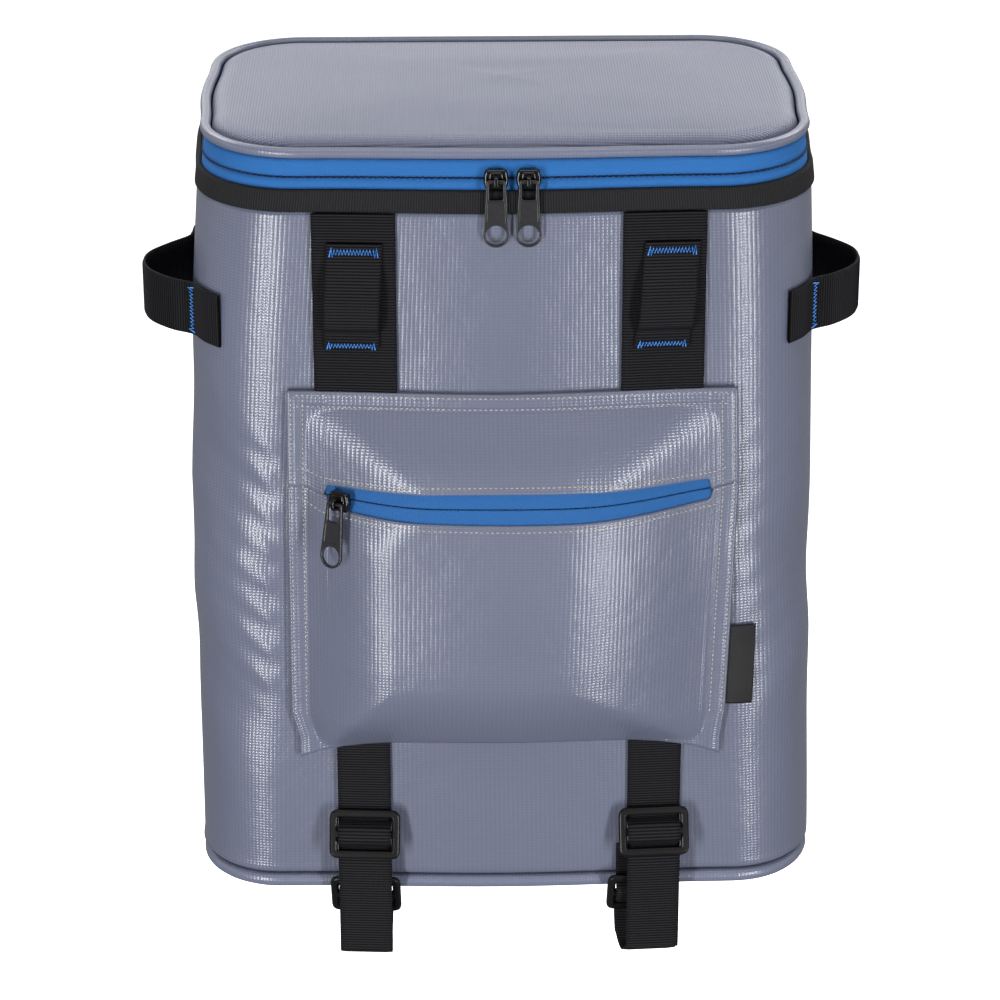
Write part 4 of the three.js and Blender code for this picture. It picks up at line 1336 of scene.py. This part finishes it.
for word, side, skew in (("left", -1, 0.0), ("right", 1, rear_skew)):
    x = side * lower_strap_spacing / 2
    glide_rise = front_glide_place[1]
    slope = (on_front(x + 0.001, glide_rise) - on_front(x - 0.001, glide_rise)).normalized()

    def off_wall(out, height, move=0.0):
        wall = on_front(x + move, max(height, 0.009))
        return Vector((x + move, wall.y - out, base_height + height))

    front = glide_frame(off_wall(*front_glide_place), slope, front_glide_tilt)
    rear = glide_frame(off_wall(*rear_glide_place, skew), slope, rear_glide_tilt)
    seat = strap_seat + webbing_thickness / 2
    past = glide_height / 2 + 0.002
    top = pocket_bottom - 0.0015
    bend = []
    for turn in spread(0, math.pi, 10):
        out = front_run - loop_radius + loop_radius * math.cos(turn)
        bend.append(off_wall(out, -loop_drop - loop_radius * math.sin(turn), skew * turn / math.pi))
    points = [
        off_wall(seat, top),
        off_wall(seat, (top + strap_leaves) / 2),
        off_wall(seat, strap_leaves),
        *weave_through(front),
        strap_point(front, -strap_stand, -past),
        off_wall(front_run, strap_hangs),
        *bend,
        strap_point(rear, -strap_stand, -past),
        *weave_through(rear)[::-1],
        off_wall(seat, strap_returns, skew),
        off_wall(seat, strap_ends, skew),
    ]
    place, length = along_line(flow(points, 10), slope)
    web = strap(narrow_webbing, length,
                lambda across, along, out: place(across, along, webbing_thickness / 2 - out))
    web = finished(web, f"hanging_strap_{word}", webbing)
    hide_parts(f"lower_strap_{word}")
    set_glide(f"front_glide_{word}", front, f"front_slider_{word}")
    set_glide(f"rear_glide_{word}", rear, f"rear_slider_{word}")

# Back pad
# A foam pad under black spacer mesh, pressed in a mould that sinks channels for air into it, and
# sewn flat to the back of the body round its edge.
pad_half = 0.084
pad_low = 0.030
pad_high = 0.316
pad_corner = 0.026
pad_depth = 0.0096
pad_round = 0.0045
pad_black = (0.022, 0.023, 0.027)


def mesh_finish(name, colour, cell):
    """Spacer mesh: rows of small open holes, each row set half a hole on from the last."""
    material, tree, shader = plain_finish(name, colour, 0.8)
    shader.inputs["Sheen Weight"].default_value = 0.06
    shader.inputs["Specular IOR Level"].default_value = 0.25
    u, v = cloth_axes(tree)
    net = add_node(tree, "ShaderNodeCombineXYZ", {"X": u, "Y": v})
    cells = add_node(tree, "ShaderNodeTexVoronoi", {
        "Vector": net.outputs[0], "Scale": 1 / cell, "Randomness": 0.12,
    })
    # Painted shade: the holes, at the middle of each cell, are painted darker than the strands round them.
    shades(tree, shader, cells.outputs["Distance"], colour, 0.2, 1.7, 0.18, 0.42)
    relief(tree, shader, cells.outputs["Distance"], 0.0006)
    return material


spacer_mesh = mesh_finish("spacer_mesh", pad_black, 0.0026)
pad_middle = base_height + (pad_low + pad_high) / 2
pad_outline = rounded([
    (-pad_half, base_height + pad_low), (pad_half, base_height + pad_low),
    (pad_half, base_height + pad_high), (-pad_half, base_height + pad_high),
], pad_corner, 12)
pad_run = distances([*pad_outline, pad_outline[0]])


def on_pad_outline(share):
    along = share * pad_run[-1]
    k = max(bisect_left(pad_run, along) - 1, 0)
    share = (along - pad_run[k]) / (pad_run[k + 1] - pad_run[k])
    return pad_outline[k].lerp(pad_outline[(k + 1) % len(pad_outline)], share)


def pad_face(x, z):
    """How far the moulded face is sunk: one channel up the middle and three across."""
    sunk = 0.0042 * math.exp(-(x / 0.0085) ** 4)
    for height in (0.095, 0.173, 0.251):
        lean = height + 0.10 * abs(x)
        sunk = max(sunk, 0.0036 * math.exp(-((z - base_height - lean) / 0.0055) ** 4))
    return sunk


def pad_point(share, row):
    kind, at = row
    edge = on_pad_outline(share)
    middle = Vector((0, pad_middle))
    if kind == "edge":
        return Vector((edge.x, lerp(-pad_depth, -pad_round, at), edge.y))
    spot = middle.lerp(edge, at)
    rim = (1 - at) * 0.085
    round_off = pad_round * (1 - smooth(min(rim / 0.010, 1)) ** 0.6)
    return Vector((spot.x, -round_off - pad_face(spot.x, spot.y) * smooth(rim / 0.012), spot.y))


pad_rows = [("edge", share) for share in spread(0, 1, 4)]
pad_rows += [("face", share) for share in spread(0.995, 0, 64)]
pad = lay(spread(0, 1, 300), pad_rows, pad_point, around=True)
measure_flat(pad, "xz")
close_ends(pad)
back_pad = finished(pad, "mesh_back_pad", spacer_mesh)
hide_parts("back_pad")

# Shoulder straps
# Curved foam straps under the same mesh, each with a strip of webbing sewn down its outer face,
# a slider on the webbing below it, and that webbing sewn into the foot of the back.
strap_pad_width = 0.058
strap_pad_thickness = 0.010
strap_spacing_top = 0.100
strap_spacing_low = 0.194
strap_bow = 0.108
strap_drop = 0.205
# A strap's middle line: shares of its drop, of its way outwards and of its bow.
shoulder_route = [
    (0, 0, 0), (0, 0, 0.07), (0.025, 0.07, 0.36), (0.146, 0.24, 0.79), (0.39, 0.44, 1),
    (0.68, 0.68, 0.93), (0.88, 0.96, 0.76), (0.94, 1, 0.68), (1, 1, 0.58),
]
strap_top = pad_high - 0.011
strap_stitches = bmesh.new()


def pad_section(turn):
    """A fat lens with a welt along each edge, as shares of the strap's width and thickness."""
    across = math.cos(turn)
    fat = math.sin(turn)
    return 0.5 * across * (1 - 0.06 * fat * fat), 0.5 * math.copysign(abs(fat) ** 0.62, fat)


for word, side in (("left", -1), ("right", 1)):
    route = []
    for down, across, out in shoulder_route:
        x = side * lerp(strap_spacing_top, strap_spacing_low, across) / 2
        height = strap_top - down * strap_drop
        route.append(Vector((x, seat_gap + out * strap_bow, base_height + height)))
    line = [route[0], *flow(route[1:], 12)]
    place, length = along_line(line, Vector((1, 0, 0)))

    def pad_surface(turn, along):
        across, out = pad_section(turn)
        welt = 1 - 0.35 * math.exp(-(((abs(across) - 0.44) / 0.02) ** 2))
        quilt = 1 - 0.10 * math.exp(-((math.sin(math.pi * along / 0.032) / 0.16) ** 2))
        return place(across * strap_pad_width, along, out * strap_pad_thickness * welt * quilt)

    foam = lay(spread(0, 2 * math.pi, 72), spread(0, length, 150), pad_surface, around=True)
    close_ends(foam)
    foam = finished(foam, f"padded_strap_{word}", spacer_mesh)
    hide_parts(f"shoulder_strap_{word}")

    facing = -1 if place(0, length / 2, 1).y < place(0, length / 2, 0).y else 1

    def on_pad(across, along, out):
        return place(across, 0.02 + along, facing * (strap_pad_thickness / 2 - 0.0002 + out))

    web = strap(narrow_webbing, length - 0.03, on_pad)
    finished(web, f"strap_webbing_{word}", webbing)
    for across in (-0.0105, 0.0105):
        run_stitches(strap_stitches, [
            on_pad(across, along, webbing_thickness + 0.0003)
            for along in spread(0.002, length - 0.034, 60)
        ])

    end = line[-1]
    along = (end - line[-2]).normalized()
    start = end + along * 0.0003
    sewn = Vector((end.x, back_plane + seat_gap + webbing_thickness, base_height + 0.026))
    foot = Vector((sewn.x, sewn.y, sewn.z - 0.013))
    centre = start.lerp(sewn, 0.4)
    fall = sewn - start
    slider = glide_frame(centre, Vector((1, 0, 0)), math.atan2(-fall.y, -fall.z))
    web_line = flow([start, *weave_through(slider), sewn, foot], 10)
    web_place, web_length = along_line(web_line, Vector((1, 0, 0)))
    web = strap(narrow_webbing, web_length,
                lambda across, along, out: web_place(across, along, out - webbing_thickness / 2))
    web = finished(web, f"lower_web_{word}", webbing)
    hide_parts(f"shoulder_web_{word}")
    set_glide(f"strap_glide_{word}", slider, f"shoulder_slider_{word}")
finished(strap_stitches, "strap_stitches", grey_thread)

# Haul loop
# A short loop of narrow webbing above the back pad, to lift and hang the pack by. Each end is
# folded flat to the wall and sewn down with a blue bar tack.
haul_low = rim_height - 0.014
haul_half = 0.048
haul_reach = 0.031
haul_tack_inset = 0.006
haul_route = [(1, 0), (0.86, 0), (0.72, 0.02), (0.6, 0.25), (0.46, 0.66), (0.26, 0.94), (0, 1)]
haul_seat = plan_at(haul_low)["rear"] + seat_gap + webbing_thickness / 2
half_loop = [
    Vector((across * haul_half, haul_seat + out * haul_reach, base_height + haul_low))
    for across, out in haul_route
]
other_half = [Vector((-spot.x, spot.y, spot.z)) for spot in half_loop[:-1]]
haul_place, haul_length = along_line(flow([*half_loop, *other_half[::-1]], 10), Vector((0, 0, 1)))
haul = strap(narrow_webbing, haul_length,
             lambda across, along, out: haul_place(across, along, webbing_thickness / 2 - out))
haul = finished(haul, "haul_webbing", webbing)
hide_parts("haul_loop")
haul_tacks = bmesh.new()
for at in (haul_tack_inset, haul_length - haul_tack_inset):
    bar_tack(
        haul_tacks,
        lambda up, across: haul_place(up, at + across, webbing_thickness / 2 - thread_out),
        tack_width, 0.0024, 54,
    )
finished(haul_tacks, "haul_loop_tacks", blue_thread)
